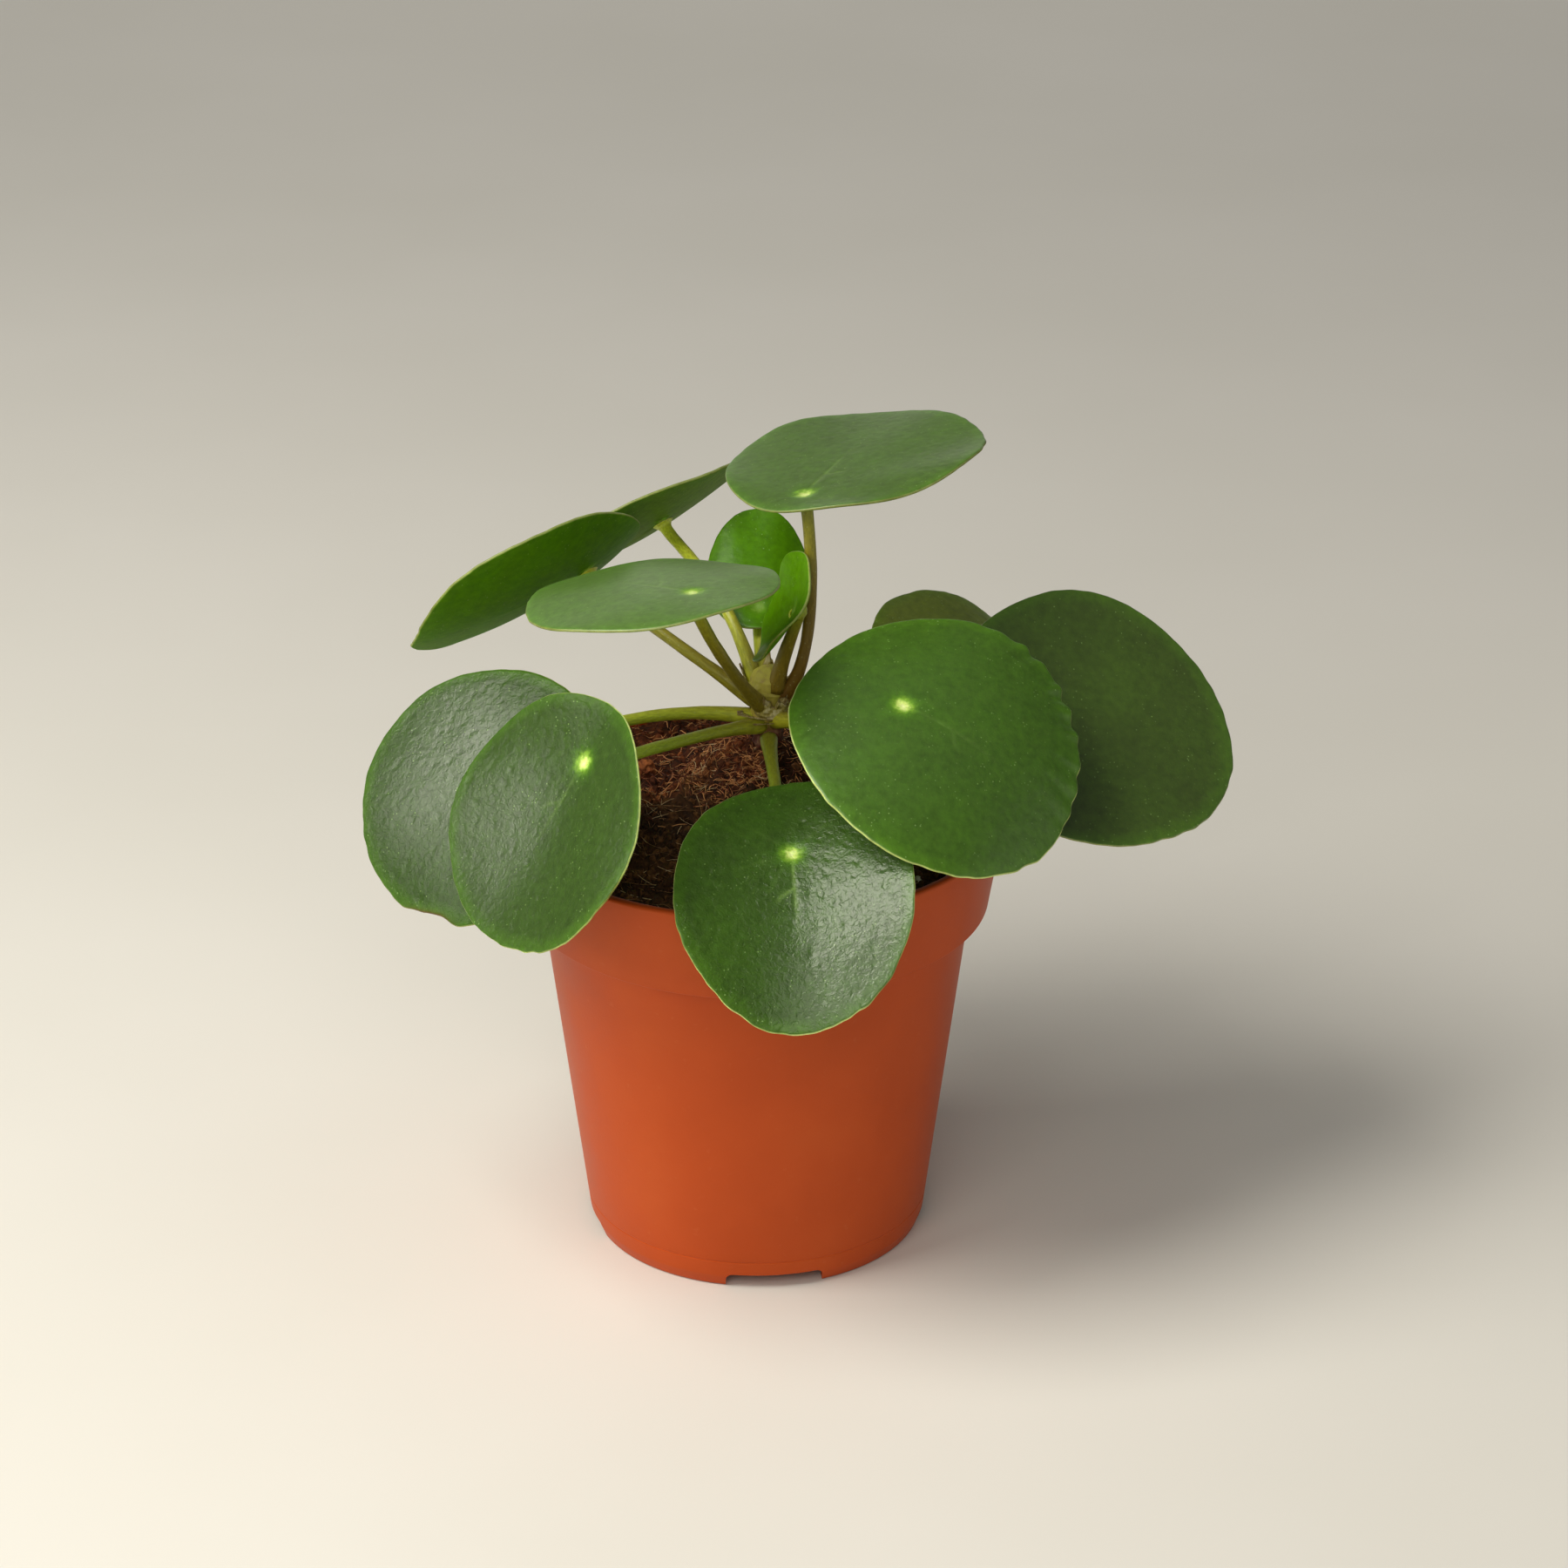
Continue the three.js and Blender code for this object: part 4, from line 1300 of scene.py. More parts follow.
def stalk_line(leaf):
    """The stalk's middle line, from inside the crown to the hub, as a cubic curve's four points."""
    height, heading, rise, first, last = leaf["stalk"]
    out = Vector((math.cos(math.radians(heading)), math.sin(math.radians(heading)), 0))
    start = Vector((STEM_X, STEM_Y, height)) + out * STALK_SEAT
    right, _, up = blade_axes(leaf)
    aside = leaf.get("aside", 0)
    end = Vector(leaf["hub"]) + right * aside + up * (fold_rise(leaf, aside) - STALK_STOP)
    span = (end - start).length
    away = out * math.cos(math.radians(rise)) + Vector((0, 0, math.sin(math.radians(rise))))
    return start, start + away * first * span, end - up * last * span, end


def stalk_radius(share, length):
    """The stalk's radius: a swollen foot, an even middle and a cone under the blade."""
    from_foot = share * length / STALK_FOOT["reach"]
    from_hub = (1 - share) * length / STALK_CONE["reach"]
    foot = STALK_FOOT["thicker"] * math.exp(-from_foot ** 1.5)
    cone = STALK_CONE["thicker"] * math.exp(-from_hub ** 1.3)
    return STALK_RADIUS * 0.97 + foot + cone


def fleshy_stalk():
    """A fleshy leaf stalk: waxy, with streaks 0.4 mm wide and 1 mm long, tanned pinkish brown
    along its upper side, with tiny pale specks."""
    material, tree = new_finish("fleshy_stalk")
    where = add_node(tree, "ShaderNodeTexCoord").outputs["UV"]
    base = add_node(tree, "ShaderNodeAttribute", attribute_name="tone").outputs["Color"]
    tan = add_node(tree, "ShaderNodeAttribute", attribute_name="tan").outputs["Fac"]
    stretched = add_node(tree, "ShaderNodeMapping", {"Vector": where, "Scale": (22, 9, 1)})
    streaks = add_node(
        tree, "ShaderNodeTexNoise", {"Vector": stretched.outputs[0], "Scale": 1, "Detail": 4},
    )
    streak_share = add_node(
        tree, "ShaderNodeMapRange",
        {"Value": streaks.outputs[0], "From Min": 0.35, "From Max": 0.7, "To Min": 0.78,
         "To Max": 1.2},
    )
    streaked = add_node(
        tree, "ShaderNodeVectorMath", {0: base, "Scale": streak_share.outputs[0]},
        operation="SCALE",
    )
    tanned = add_node(
        tree, "ShaderNodeMixRGB",
        {"Fac": tan, "Color1": streaked.outputs[0], "Color2": linear("#8C6B42")},
    )
    where_in_space = add_node(tree, "ShaderNodeTexCoord").outputs["Object"]
    specks = add_node(
        tree, "ShaderNodeTexVoronoi", {"Vector": where_in_space, "Scale": knots(1.111)},
    )
    speck_mask = add_node(
        tree, "ShaderNodeMapRange",
        {"Value": specks.outputs[0], "From Min": 0.12, "From Max": 0.2, "To Min": 0.35, "To Max": 0},
    )
    colour = add_node(
        tree, "ShaderNodeMixRGB",
        {"Fac": speck_mask.outputs[0], "Color1": tanned.outputs[0], "Color2": linear("#B5B878")},
    )
    bump = add_node(
        tree, "ShaderNodeBump", {"Height": streaks.outputs[0], "Strength": 0.25, "Distance": 0.0003},
    )
    surface = add_node(tree, "ShaderNodeBsdfPrincipled", {
        "Base Color": colour.outputs[0],
        "Roughness": 0.42,
        "Subsurface Weight": 0.25,
        "Subsurface Radius": (0.9, 1.0, 0.3),
        "Subsurface Scale": 0.001,
        "Normal": bump.outputs[0],
    })
    add_node(tree, "ShaderNodeOutputMaterial", {"Surface": surface.outputs[0]})
    return material


def add_colours(mesh, name, colours):
    """Stores one linear colour a point under a name that the finish reads."""
    flat = np.asarray(colours, np.float32).ravel()
    mesh.attributes.new(name, "FLOAT_COLOR", "POINT").data.foreach_set("color", flat)


def stalk_piece(name, leaf, material):
    """One stalk: a closed tube along its line, whose foot is sunk in the crown."""
    a, b, c, d = stalk_line(leaf)
    foot, middle, top = (np.array(linear(colour)) for colour in leaf["tone"])
    length = (b - a).length * 0.5 + (c - b).length * 0.7 + (d - c).length * 0.5
    points = []
    tones = []
    tans = []
    rounds = []
    side = None
    for step in range(STALK_STEPS + 1):
        share = step / STALK_STEPS
        rest = 1 - share
        line = a * rest ** 3 + b * 3 * rest ** 2 * share + c * 3 * rest * share ** 2 + d * share ** 3
        run = (b - a) * rest ** 2 + (c - b) * 2 * rest * share + (d - c) * share ** 2
        run.normalize()
        if side is None:
            side = run.cross(Vector((0, 0, 1)))
            line -= run * STALK_SUNK
        side = (side - run * side.dot(run)).normalized()
        top_side = side.cross(run)
        tone = blend_of(foot, middle, min(1, share * 2)) if share < 0.5 else blend_of(
            middle, top, (share - 0.5) * 2,
        )
        for i in range(STALK_SIDES):
            angle = 2 * math.pi * i / STALK_SIDES
            radius = stalk_radius(share, length)
            radius += 0.06 * rough(angle * 1.3, share * length / 4, 1, leaf["facing"])
            points.append(line + (side * math.cos(angle) + top_side * math.sin(angle)) * radius)
            tones.append(tone)
            tans.append(0.4 * max(0, math.sin(angle)) ** 3 * (1 - 0.6 * share))
            rounds.append((i / STALK_SIDES, share * length / 10))
    faces = []
    for step in range(STALK_STEPS):
        for i in range(STALK_SIDES):
            after = (i + 1) % STALK_SIDES
            low = step * STALK_SIDES
            faces.append((low + after, low + i, low + STALK_SIDES + i, low + STALK_SIDES + after))
    last = STALK_STEPS * STALK_SIDES
    faces.append(tuple(range(STALK_SIDES)))
    faces.append(tuple(last + i for i in reversed(range(STALK_SIDES))))
    piece = mesh_piece("stalk_" + name, points, faces, material)
    add_colours(piece.data, "tone", tones)
    add_float(piece.data, "tan", tans)
    uv = piece.data.uv_layers.new(name="along_stalk")
    for loop in piece.data.loops:
        uv.data[loop.index].uv = rounds[loop.vertex_index]
    return piece


stalk_finish = fleshy_stalk()
for name, leaf in LEAVES.items():
    stalk = stalk_piece(name, leaf, stalk_finish)
    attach(stalk, "root")
    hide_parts("petiole_" + name)


# ---- The blades ----
# Round fleshy blades, held near one side by their stalk. The upper side is deep green, leathery
# and finely hammered, with a pale spot at the hub, faint sunk veins, a pale midrib that is partly
# a painted highlight on its ridge, and a thin light rim that is its own pale margin with a painted
# highlight along it; the underside is a lighter, warmer green with the veins raised.

BLADE_NET_MM = 0.46
BLADE_WAVE = 0.45
RIM_ROUND = 0.42
RIM_RINGS = (0.4, 0.2, 0.07, 0)
VEIN_HEADINGS = (0, 38, -38, 82, -82, 135, -135)
VEIN_STEPS = 12
VEIN_HALF_WIDTH = 0.4
# The short fork that leaves the midrib: at which of its steps, and its own steps across and along.
FORK_FROM = 5
FORK = ((3.4, 2.4), (4.8, 4.4))
FRILL_WAVES = 34
HUB_DIMPLE = {"deep": 0.5, "reach": 2.2}
EDGE_CURL = {"deep": 0.12, "reach": 1.2}
VEIN_SUNK = 0.14
VEIN_PROUD = 0.28
DRY_REACH = 0.45


def draw(number):
    """A draw from -1 to 1 that depends only on its number."""
    wave = math.sin(number * 12.9898) * 43758.5453
    return 2 * (wave - math.floor(wave)) - 1


def drop_height(leaf, across, along):
    """Height of the blade over its hub's plane, at a place across and along it."""
    half = leaf["wide"] / 2
    side = across / half
    end = along / (leaf["long"] / 2)
    return -half * (leaf["drop"][0] * side * side + leaf["drop"][1] * end * end)


def vein_lines(leaf, number):
    """The main veins, each as a line of (across, along) places from the hub and its strength:
    the midrib, the faint curved side veins and the midrib's fork."""
    lines = []
    for i, heading in enumerate(VEIN_HEADINGS):
        bearing = math.radians(heading + 5 * draw(number * 9 + i))
        reach = (0.82 if heading == 0 else 0.62) * leaf["wide"] / 2
        bend = -0.35 * math.copysign(1, heading) if heading else 0.06 * draw(number)
        x = y = 0.0
        line = [(x, y)]
        for step in range(VEIN_STEPS):
            now = bearing + bend * step / VEIN_STEPS
            x += reach / VEIN_STEPS * math.sin(now)
            y += reach / VEIN_STEPS * math.cos(now)
            line.append((x, y))
        lines.append((line, 1 if heading == 0 else 0.15))
    x, y = lines[0][0][FORK_FROM]
    fork = [(x, y)] + [(x + across, y + along) for across, along in FORK]
    lines.append((fork, 0.9))
    return lines


def nearness_to_veins(across, along, lines):
    """For each place, how near it is to a vein: 1 on the midrib, less on the others, 0 away from
    them, fading to their ends."""
    near = np.zeros(len(across))
    for line, strength in lines:
        for step in range(len(line) - 1):
            (ax, ay), (bx, by) = line[step], line[step + 1]
            run = (bx - ax) ** 2 + (by - ay) ** 2
            share = np.clip(((across - ax) * (bx - ax) + (along - ay) * (by - ay)) / run, 0, 1)
            away = np.hypot(across - ax - share * (bx - ax), along - ay - share * (by - ay))
            fade = 1 - (step + share) / (len(line) - 1)
            here = strength * np.exp(-(away / VEIN_HALF_WIDTH) ** 2) * np.clip(2 * fade, 0, 1)
            near = np.maximum(near, here)
    return near


def noisy(across, along, grain, seed):
    """rough() for whole arrays of places."""
    return np.array([rough(x, y, grain, seed) for x, y in zip(across, along)])


def stretch_share(angles, middle, half_width):
    """How far each angle is inside a stretch of the edge: 1 at its middle, 0 outside it."""
    off = (angles - math.radians(middle) + math.pi) % (2 * math.pi) - math.pi
    return np.exp(-(off / math.radians(half_width)) ** 4)


def edge_shape(leaf, angles, number):
    """What the blade's edge does at each angle: how far it stands out or in, how far it is waved
    up and down, and how dry it is."""
    scallops = np.array([
        leaf["lobes"] * (0.7 * noise.noise(Vector((2.4 * math.cos(a), 2.4 * math.sin(a), number)))
                         + 0.5 * noise.noise(Vector((9 * math.cos(a), 9 * math.sin(a), number))))
        for a in angles
    ])
    dry = np.zeros(len(angles))
    if "nick" in leaf:
        middle, half_width, depth = leaf["nick"]
        dry = stretch_share(angles, middle, half_width)
        ragged = 1 + 0.3 * np.array([rough(a * 5, 0, 1, number) for a in angles])
        scallops -= depth * dry * ragged
    frill = np.zeros(len(angles))
    if "frill" in leaf:
        middle, half_width, depth = leaf["frill"]
        uneven = 1 + np.array([rough(a * 5, 0, 1, number) for a in angles])
        frill = depth * uneven * stretch_share(angles, middle, half_width)
        frill = frill * np.sin(FRILL_WAVES * angles)
        scallops += 0.5 * frill
    return scallops, frill, dry


def skin_relief(leaf, number, across, along, to_edge):
    """Heights in mm on the skin: all that the upper side has, a fine crumple, pits here and there
    and broad swells, and the swells alone."""
    crumple = 0.016 * noisy(across, along, 1.6, number)
    crumple += 0.034 * noisy(across, along, 0.85, number + 40)
    crumple -= 0.24 * np.clip(noisy(across, along, 2.0, number + 60) - 0.45, 0, 1)
    swells = 0.1 * noisy(across, along, 9, number + 80)
    swells += 0.03 * noisy(across, along, 4, number + 120)
    return leaf["relief"] * (crumple * np.clip(to_edge / 2, 0.2, 1) + swells), swells


def blade_piece(name, leaf, number, material):
    """One blade: a closed leathery sheet on a fine net, with its relief and its markings."""
    right, tip, up = (np.array(axis) for axis in blade_axes(leaf))
    half = leaf["wide"] / 2
    rings = round(half / BLADE_NET_MM)
    shares, angles, net, rim = disc_net(rings)
    last_plain = rings - len(RIM_RINGS) + 1
    ring = np.rint(shares * rings).astype(int)
    to_rim = {last_plain + i: 1 - inset / half for i, inset in enumerate(RIM_RINGS)}
    inner_share = to_rim[last_plain] / last_plain
    shares = np.array([to_rim.get(r, r * inner_share) for r in ring])

    hub_along = (leaf["hub_share"] - 0.5) * leaf["long"]
    scallops, frill, dry = edge_shape(leaf, angles, number)
    reach = shares * (1 + shares ** 4 * scallops * 1.1 / half)
    aside = leaf.get("aside", 0)
    across = aside + reach * (half * np.sin(angles) * (1 + leaf["taper"] * np.cos(angles)) - aside)
    along = hub_along + reach * (leaf["long"] / 2 * np.cos(angles) - hub_along)
    wave_size = BLADE_WAVE * (1 + 0.5 * draw(number + 1))
    wave_phase = math.pi * draw(number + 21)
    height = drop_height(leaf, across, along) - drop_height(leaf, 0, hub_along)
    height += wave_size * shares ** 3 * np.sin(5 * angles + wave_phase) + frill * shares ** 9
    height += fold_rise(leaf, across)
    along -= hub_along

    radius = np.hypot(
        half * np.sin(angles), (leaf["long"] / 2) * np.cos(angles) - hub_along,
    )
    to_edge = (1 - shares) * radius
    to_hub = np.hypot(across - aside, along)
    veins = nearness_to_veins(across - aside, along, vein_lines(leaf, number))
    gleam = np.ones(len(shares))
    if "gleam" in leaf:
        middle_x, middle_y, wide, long = leaf["gleam"]
        away = np.hypot((across - middle_x) / wide, (along - middle_y) / long)
        gleam = np.exp(-away ** 3)
    relief, swells = skin_relief(leaf, number, across, along, to_edge)
    relief -= HUB_DIMPLE["deep"] * np.exp(-(to_hub / HUB_DIMPLE["reach"]) ** 2)
    curl = -EDGE_CURL["deep"] * np.exp(-to_edge / EDGE_CURL["reach"])
    inset = np.clip(1 - to_edge / RIM_ROUND, 0, 1)
    thick = BLADE_THICK / 2 * np.sqrt(1 - inset ** 2)
    upper = height + curl + relief - VEIN_SUNK * leaf["midrib"] * veins + thick
    under = height + curl + 0.6 * leaf["relief"] * swells - VEIN_PROUD * veins - thick

    def spread(levels):
        flat = np.array(leaf["hub"]) + np.outer(across, right) + np.outer(along, tip)
        return flat + np.outer(levels, up)

    rim_first = rim[0]
    top_points = spread(upper)
    top_points[rim_first:] = spread(height + curl)[rim_first:]
    points = np.vstack([top_points, spread(under)[:rim_first]])
    below = [len(shares) + i if i < rim_first else i for i in range(len(shares))]
    faces = [(a, c, b) for a, b, c in net] + [(below[a], below[b], below[c]) for a, b, c in net]
    piece = mesh_piece("leaf_" + name, points, faces, material)

    uv = piece.data.uv_layers.new(name="from_hub")
    for loop in piece.data.loops:
        i = loop.vertex_index
        i = i if i < len(shares) else i - len(shares)
        uv.data[loop.index].uv = (across[i] / 100, along[i] / 100)
    marks = {
        "to_edge": to_edge,
        "to_hub": to_hub,
        "vein": veins * leaf["midrib"],
        "age": np.full(len(shares), leaf["age"]),
        "relief": np.full(len(shares), leaf["relief"]),
        "spot": np.full(len(shares), leaf.get("spot", 1)),
        # rim: how strong the pale rim is, its own margin colour with a painted highlight along it.
        "rim": np.full(len(shares), leaf.get("rim", 0.3)),
        "gleam": gleam,
        "dry": dry * np.exp(-to_edge / DRY_REACH),
    }
    for mark, values in marks.items():
        add_float(piece.data, mark, np.concatenate([values, values[:rim_first]]))
    # The colour laid over the green: a painted sheen on the top and mid_left blades, a tone of their
    # own on the others.
    painted_sheen_and_tone, share = leaf.get("painted_sheen_and_tone", ("#000000", 0))
    add_colours(piece.data, "painted_sheen_and_tone", [linear(painted_sheen_and_tone)[:3] + [share]] * len(points))
    is_upper = np.concatenate([np.ones(len(shares)), np.zeros(rim_first)])
    is_upper[rim_first:len(shares)] = 0.5
    add_float(piece.data, "upper", is_upper)
    return piece


def leathery_leaf():
    """A succulent leaf: a waxy skin with a soft grey gloss broken up by fine hammering, over
    flesh that lets some light through. Tiny pale dots lie in it, in loose patches. The real
    hammering and dots are finer than the render shows, so they are drawn coarser, 1 to 2 mm."""
    material, tree = new_finish("leathery_leaf")
    where = add_node(tree, "ShaderNodeTexCoord").outputs["Object"]
    marks = {
        mark: add_node(tree, "ShaderNodeAttribute", attribute_name=mark).outputs["Fac"]
        for mark in ("to_edge", "to_hub", "vein", "age", "upper", "relief", "dry", "spot",
                     "rim", "gleam")
    }
    clouds = add_node(
        tree, "ShaderNodeTexNoise", {"Vector": where, "Scale": knots(14.3), "Detail": 3},
    )
    aged = add_node(
        tree, "ShaderNodeMath", {0: clouds.outputs[0], 1: 0.35, 2: marks["age"]},
        operation="MULTIPLY_ADD",
    )
    aged_share = add_node(
        tree, "ShaderNodeMapRange", {"Value": aged.outputs[0], "From Min": 0.17, "From Max": 1.17},
    )
    upper_skin = add_node(
        tree, "ShaderNodeValToRGB", {0: aged_share.outputs[0]},
        stops=[(0.0, "#4C7C00"), (0.3, "#44720A"), (0.7, "#43661C"), (1.0, "#37501C")],
    )
    under_skin = add_node(
        tree, "ShaderNodeValToRGB", {0: aged_share.outputs[0]},
        stops=[(0.0, "#588A00"), (0.5, "#467A00"), (1.0, "#466204")],
    )
    skin = add_node(tree, "ShaderNodeMixRGB", {
        "Fac": marks["upper"], "Color1": under_skin.outputs[0], "Color2": upper_skin.outputs[0],
    })
    # The colour laid over the green, as a painted sheen on the top and mid_left blades and as their own
    # tone on the others.
    painted_sheen_and_tone = add_node(tree, "ShaderNodeAttribute", attribute_name="painted_sheen_and_tone")
    own_skin = add_node(tree, "ShaderNodeMixRGB", {
        "Fac": painted_sheen_and_tone.outputs["Alpha"], "Color1": skin.outputs[0], "Color2": painted_sheen_and_tone.outputs["Color"],
    })
    # Veins, the midrib most, turn pale green. This is partly their own paler colour and partly a
    # painted highlight along the midrib's ridge.
    vein_pale_and_highlight_share = add_node(
        tree, "ShaderNodeMath", {0: marks["vein"], 1: 0.55}, operation="MULTIPLY",
    )
    veins_pale_and_highlighted = add_node(tree, "ShaderNodeMixRGB", {
        "Fac": vein_pale_and_highlight_share.outputs[0], "Color1": own_skin.outputs[0], "Color2": linear("#7FA050"),
    })
    # Within 4 mm of the edge the green turns lighter and yellower.
    paler_near_edge = add_node(
        tree, "ShaderNodeMapRange",
        {"Value": marks["to_edge"], "From Min": 0, "From Max": 4, "To Min": 0.3, "To Max": 0},
    )
    edged = add_node(tree, "ShaderNodeMixRGB", {
        "Fac": paler_near_edge.outputs[0], "Color1": veins_pale_and_highlighted.outputs[0], "Color2": linear("#5C8E1C"),
    })
    # Within 0.2 mm of the edge the colour turns to a pale rim, scaled by each blade's rim value. This
    # is partly the margin's own colour, with browner patches, and partly a painted highlight of the
    # edge catching the light.
    rim_margin_and_highlight_share = add_node(
        tree, "ShaderNodeMapRange",
        {"Value": marks["to_edge"], "From Min": 0.03, "From Max": 0.22, "To Min": 0.85, "To Max": 0},
    )
    rim_patches = add_node(
        tree, "ShaderNodeTexNoise", {"Vector": where, "Scale": knots(22.2), "Detail": 3},
    )
    rim_margin_and_highlight_tone = add_node(
        tree, "ShaderNodeValToRGB", {0: rim_patches.outputs[0]},
        stops=[(0.5, "#DCEA94"), (0.62, "#AAB45E"), (0.72, "#6B4E24")],
    )
    rim_margin_and_highlight_colour = add_node(tree, "ShaderNodeMixRGB", {
        "Fac": marks["rim"], "Color1": linear("#5C5A1E"), "Color2": rim_margin_and_highlight_tone.outputs[0],
    })
    with_rim_margin_and_highlight = add_node(tree, "ShaderNodeMixRGB", {
        "Fac": rim_margin_and_highlight_share.outputs[0], "Color1": edged.outputs[0], "Color2": rim_margin_and_highlight_colour.outputs[0],
    })
    hub_ragged = add_node(
        tree, "ShaderNodeTexNoise", {"Vector": where, "Scale": knots(1.111), "Detail": 2},
    )
    hub_distance = add_node(
        tree, "ShaderNodeMath", {0: hub_ragged.outputs[0], 1: 2.2, 2: marks["to_hub"]},
        operation="MULTIPLY_ADD",
    )
    hub_fade = add_node(
        tree, "ShaderNodeMapRange",
        {"Value": hub_distance.outputs[0], "From Min": 1.1, "From Max": 7},
    )
    hub_glow = add_node(
        tree, "ShaderNodeValToRGB", {0: hub_fade.outputs[0]},
        stops=[(0.18, "#FFFFFF"), (0.3, "#DCDCDC"), (0.45, "#9C9C9C"), (0.66, "#505050"),
               (1.0, "#000000")],
    )
    spotted = add_node(
        tree, "ShaderNodeMath", {0: hub_glow.outputs[0], 1: marks["spot"]}, operation="MULTIPLY",
    )
    hub_tint = add_node(
        tree, "ShaderNodeValToRGB", {0: hub_fade.outputs[0]},
        stops=[(0.0, "#E4F4A8"), (0.18, "#CDE67E"), (0.34, "#98C844"), (0.6, "#62A01E"),
               (1.0, "#4E8E0A")],
    )
    hubbed = add_node(tree, "ShaderNodeMixRGB", {
        "Fac": spotted.outputs[0], "Color1": with_rim_margin_and_highlight.outputs[0], "Color2": hub_tint.outputs[0],
    })
    mottle = add_node(
        tree, "ShaderNodeTexNoise",
        {"Vector": where, "Scale": knots(2.083), "Detail": 4, "Roughness": 0.65},
    )
    mottle_share = add_node(
        tree, "ShaderNodeMapRange",
        {"Value": mottle.outputs[0], "From Min": 0.3, "From Max": 0.7, "To Min": 0.8, "To Max": 1.22},
    )
    mottled = add_node(
        tree, "ShaderNodeVectorMath", {0: hubbed.outputs[0], "Scale": mottle_share.outputs[0]},
        operation="SCALE",
    )
    dots = add_node(tree, "ShaderNodeTexVoronoi", {"Vector": where, "Scale": knots(1.316)})
    dot_mask = add_node(
        tree, "ShaderNodeMapRange",
        {"Value": dots.outputs[0], "From Min": 0.08, "From Max": 0.17, "To Min": 0.6, "To Max": 0},
    )
    dot_patches = add_node(tree, "ShaderNodeTexNoise", {"Vector": where, "Scale": knots(6.25)})
    patch_mask = add_node(
        tree, "ShaderNodeMapRange",
        {"Value": dot_patches.outputs[0], "From Min": 0.44, "From Max": 0.6},
    )
    dotted_share = add_node(
        tree, "ShaderNodeMath", {0: dot_mask.outputs[0], 1: patch_mask.outputs[0]},
        operation="MULTIPLY",
    )
    dotted = add_node(tree, "ShaderNodeMixRGB", {
        "Fac": dotted_share.outputs[0], "Color1": mottled.outputs[0], "Color2": linear("#93B46C"),
    })
    dried = add_node(tree, "ShaderNodeMixRGB", {
        "Fac": marks["dry"], "Color1": dotted.outputs[0], "Color2": linear("#5C3418"),
    })
    grain = add_node(
        tree, "ShaderNodeTexNoise",
        {"Vector": where, "Scale": knots(1), "Detail": 1.5, "Roughness": 0.5, "Distortion": 0.8},
    )
    fine_bump = add_node(
        tree, "ShaderNodeBump",
        {"Height": grain.outputs[0], "Strength": marks["relief"], "Distance": 0.00018},
    )
    hammering = add_node(
        tree, "ShaderNodeTexVoronoi", {"Vector": where, "Scale": knots(1.613), "Randomness": 1},
        feature="SMOOTH_F1",
    )
    bump = add_node(tree, "ShaderNodeBump", {
        "Height": hammering.outputs[0],
        "Strength": 0.25,
        "Distance": 0.00024,
        "Normal": fine_bump.outputs[0],
    })
    gloss = add_node(
        tree, "ShaderNodeMapRange",
        {"Value": marks["upper"], "From Min": 0, "From Max": 1, "To Min": 0.6, "To Max": 0.36},
    )
    ripe = add_node(
        tree, "ShaderNodeMapRange",
        {"Value": marks["age"], "From Min": 0, "From Max": 0.5, "To Min": 0.1, "To Max": 0.7},
    )
    polished = add_node(
        tree, "ShaderNodeMapRange", {"Value": marks["gleam"], "To Min": 0.2, "To Max": ripe.outputs[0]},
    )
    dull_hub = add_node(
        tree, "ShaderNodeMapRange",
        {"Value": spotted.outputs[0], "To Min": polished.outputs[0], "To Max": 0.05},
    )
    wax = add_node(
        tree, "ShaderNodeMapRange",
        {"Value": marks["upper"], "From Min": 0, "From Max": 1, "To Min": 0.04,
         "To Max": dull_hub.outputs[0]},
    )
    surface = add_node(tree, "ShaderNodeBsdfPrincipled", {
        "Base Color": dried.outputs[0],
        "Roughness": gloss.outputs[0],
        "Specular IOR Level": wax.outputs[0],
        "Subsurface Weight": 0.3,
        "Subsurface Radius": (0.7, 1.2, 0.25),
        "Subsurface Scale": 0.001,
        "Normal": bump.outputs[0],
        "IOR": 1.5,
    })
    add_node(tree, "ShaderNodeOutputMaterial", {"Surface": surface.outputs[0]})
    return material


leaf_finish = leathery_leaf()
for number, (name, leaf) in enumerate(LEAVES.items()):
    blade = blade_piece(name, leaf, number, leaf_finish)
    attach(blade, "root")
    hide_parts("blade_" + name)


# ---- The table and the light ----
# A plain pale table. The main soft light is high at the left, with a weaker one low beside it
# and one in front, and dim ones low at the right and behind. So the blades at the left and the
# front gleam, and the pot turns into soft shade at its right.


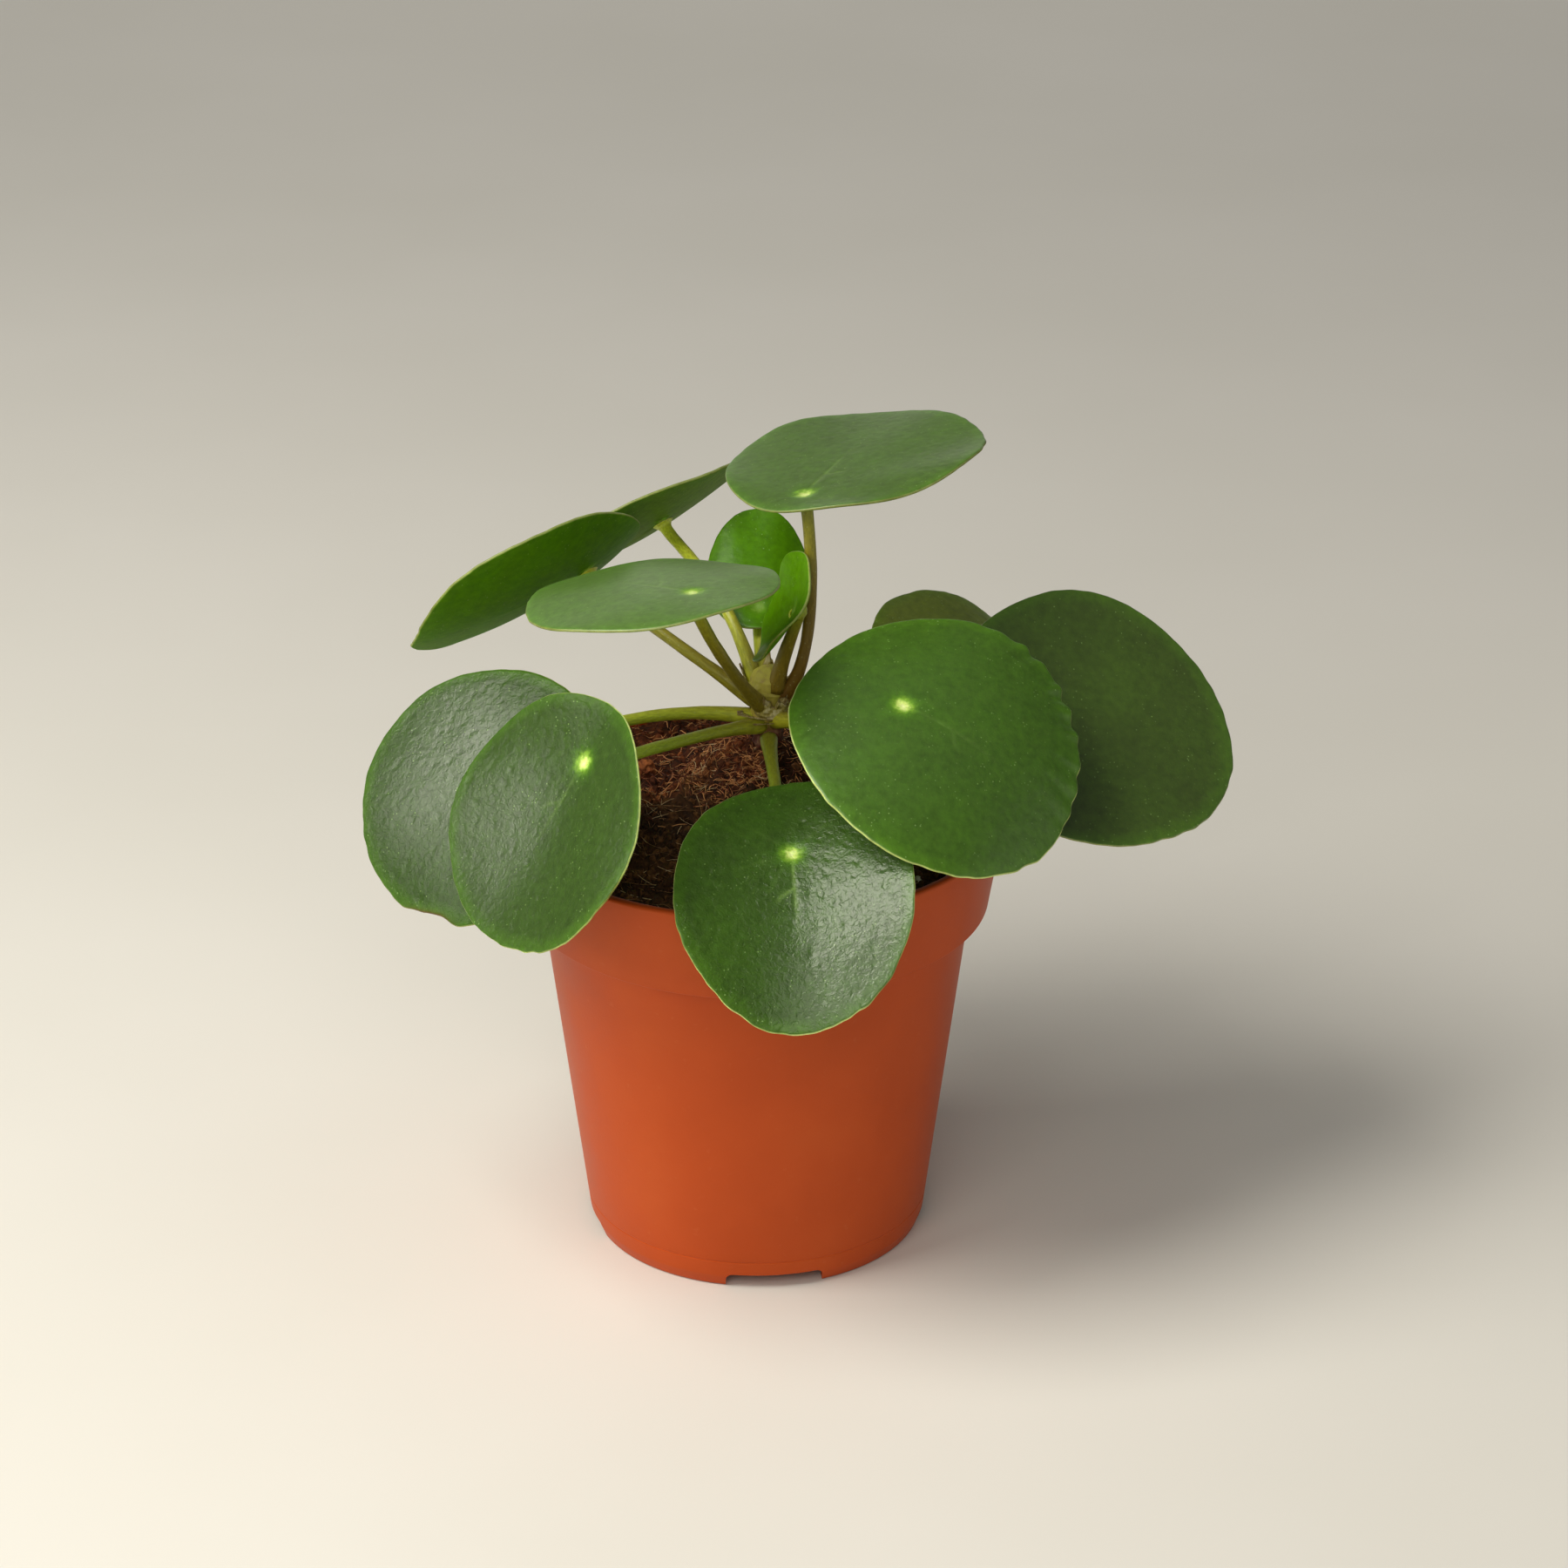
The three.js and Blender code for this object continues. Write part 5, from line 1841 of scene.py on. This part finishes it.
def plain_table():
    """A matt painted table top, almost white, with a very faint unevenness."""
    material, tree = new_finish("matt_table")
    where = add_node(tree, "ShaderNodeTexCoord").outputs["Object"]
    clouds = add_node(tree, "ShaderNodeTexNoise", {"Vector": where, "Scale": knots(167), "Detail": 3})
    colour = add_node(
        tree, "ShaderNodeValToRGB", {0: clouds.outputs[0]},
        stops=[(0.3, "#E3E0DA"), (0.7, "#E7E4DF")],
    )
    surface = add_node(tree, "ShaderNodeBsdfPrincipled", {
        "Base Color": colour.outputs[0],
        "Roughness": 0.7,
    })
    add_node(tree, "ShaderNodeOutputMaterial", {"Surface": surface.outputs[0]})
    return material


TABLE_HALF = 3000
TABLE_TOP = -0.2
table_corners = [(-1, -1), (1, -1), (1, 1), (-1, 1)]
table = mesh_piece(
    "table", [(x * TABLE_HALF, y * TABLE_HALF, TABLE_TOP) for x, y in table_corners],
    [(0, 1, 2, 3)], plain_table(),
)

# Each light's bearing from the viewer's side towards +X and its height, in degrees, its distance
# and size in metres and its power in watts. All of them look at the middle of the plant.
LIGHTS = {
    "window": {"bearing": -66, "height": 55, "away": 1.1, "size": (0.6, 0.65), "watts": 11.0},
    "low_window": {"bearing": -76, "height": 25, "away": 1.1, "size": (0.5, 0.45), "watts": 3.2},
    "front": {"bearing": -12, "height": 32, "away": 1.25, "size": (0.9, 0.6), "watts": 5.0},
    "right": {"bearing": 78, "height": 12, "away": 1.3, "size": (0.8, 0.4), "watts": 1.6},
    "back": {"bearing": 180, "height": 7, "away": 1.3, "size": (1.4, 0.36), "watts": 0.9},
}
PLANT_MIDDLE = place(0, 0, 110)
LIGHT_COLOUR = "#FFFBEE"
ROOM_GLOW = 0.12
for name, light in LIGHTS.items():
    bearing = math.radians(light["bearing"])
    height = math.radians(light["height"])
    lamp = bpy.data.lights.new(name, "AREA")
    lamp.shape = "RECTANGLE"
    lamp.size, lamp.size_y = light["size"]
    lamp.energy = light["watts"]
    lamp.color = linear(LIGHT_COLOUR)[:3]
    holder = bpy.data.objects.new(name, lamp)
    towards = Vector((
        math.sin(bearing) * math.cos(height), -math.cos(bearing) * math.cos(height), math.sin(height),
    ))
    holder.location = PLANT_MIDDLE + towards * light["away"]
    holder.rotation_euler = towards.to_track_quat("Z", "Y").to_euler()
    bpy.context.collection.objects.link(holder)

room = bpy.data.worlds.new("room")
room.use_nodes = True
glow = room.node_tree.nodes["Background"].inputs
glow["Color"].default_value = linear("#FFFFFF")
glow["Strength"].default_value = ROOM_GLOW
bpy.context.scene.world = room
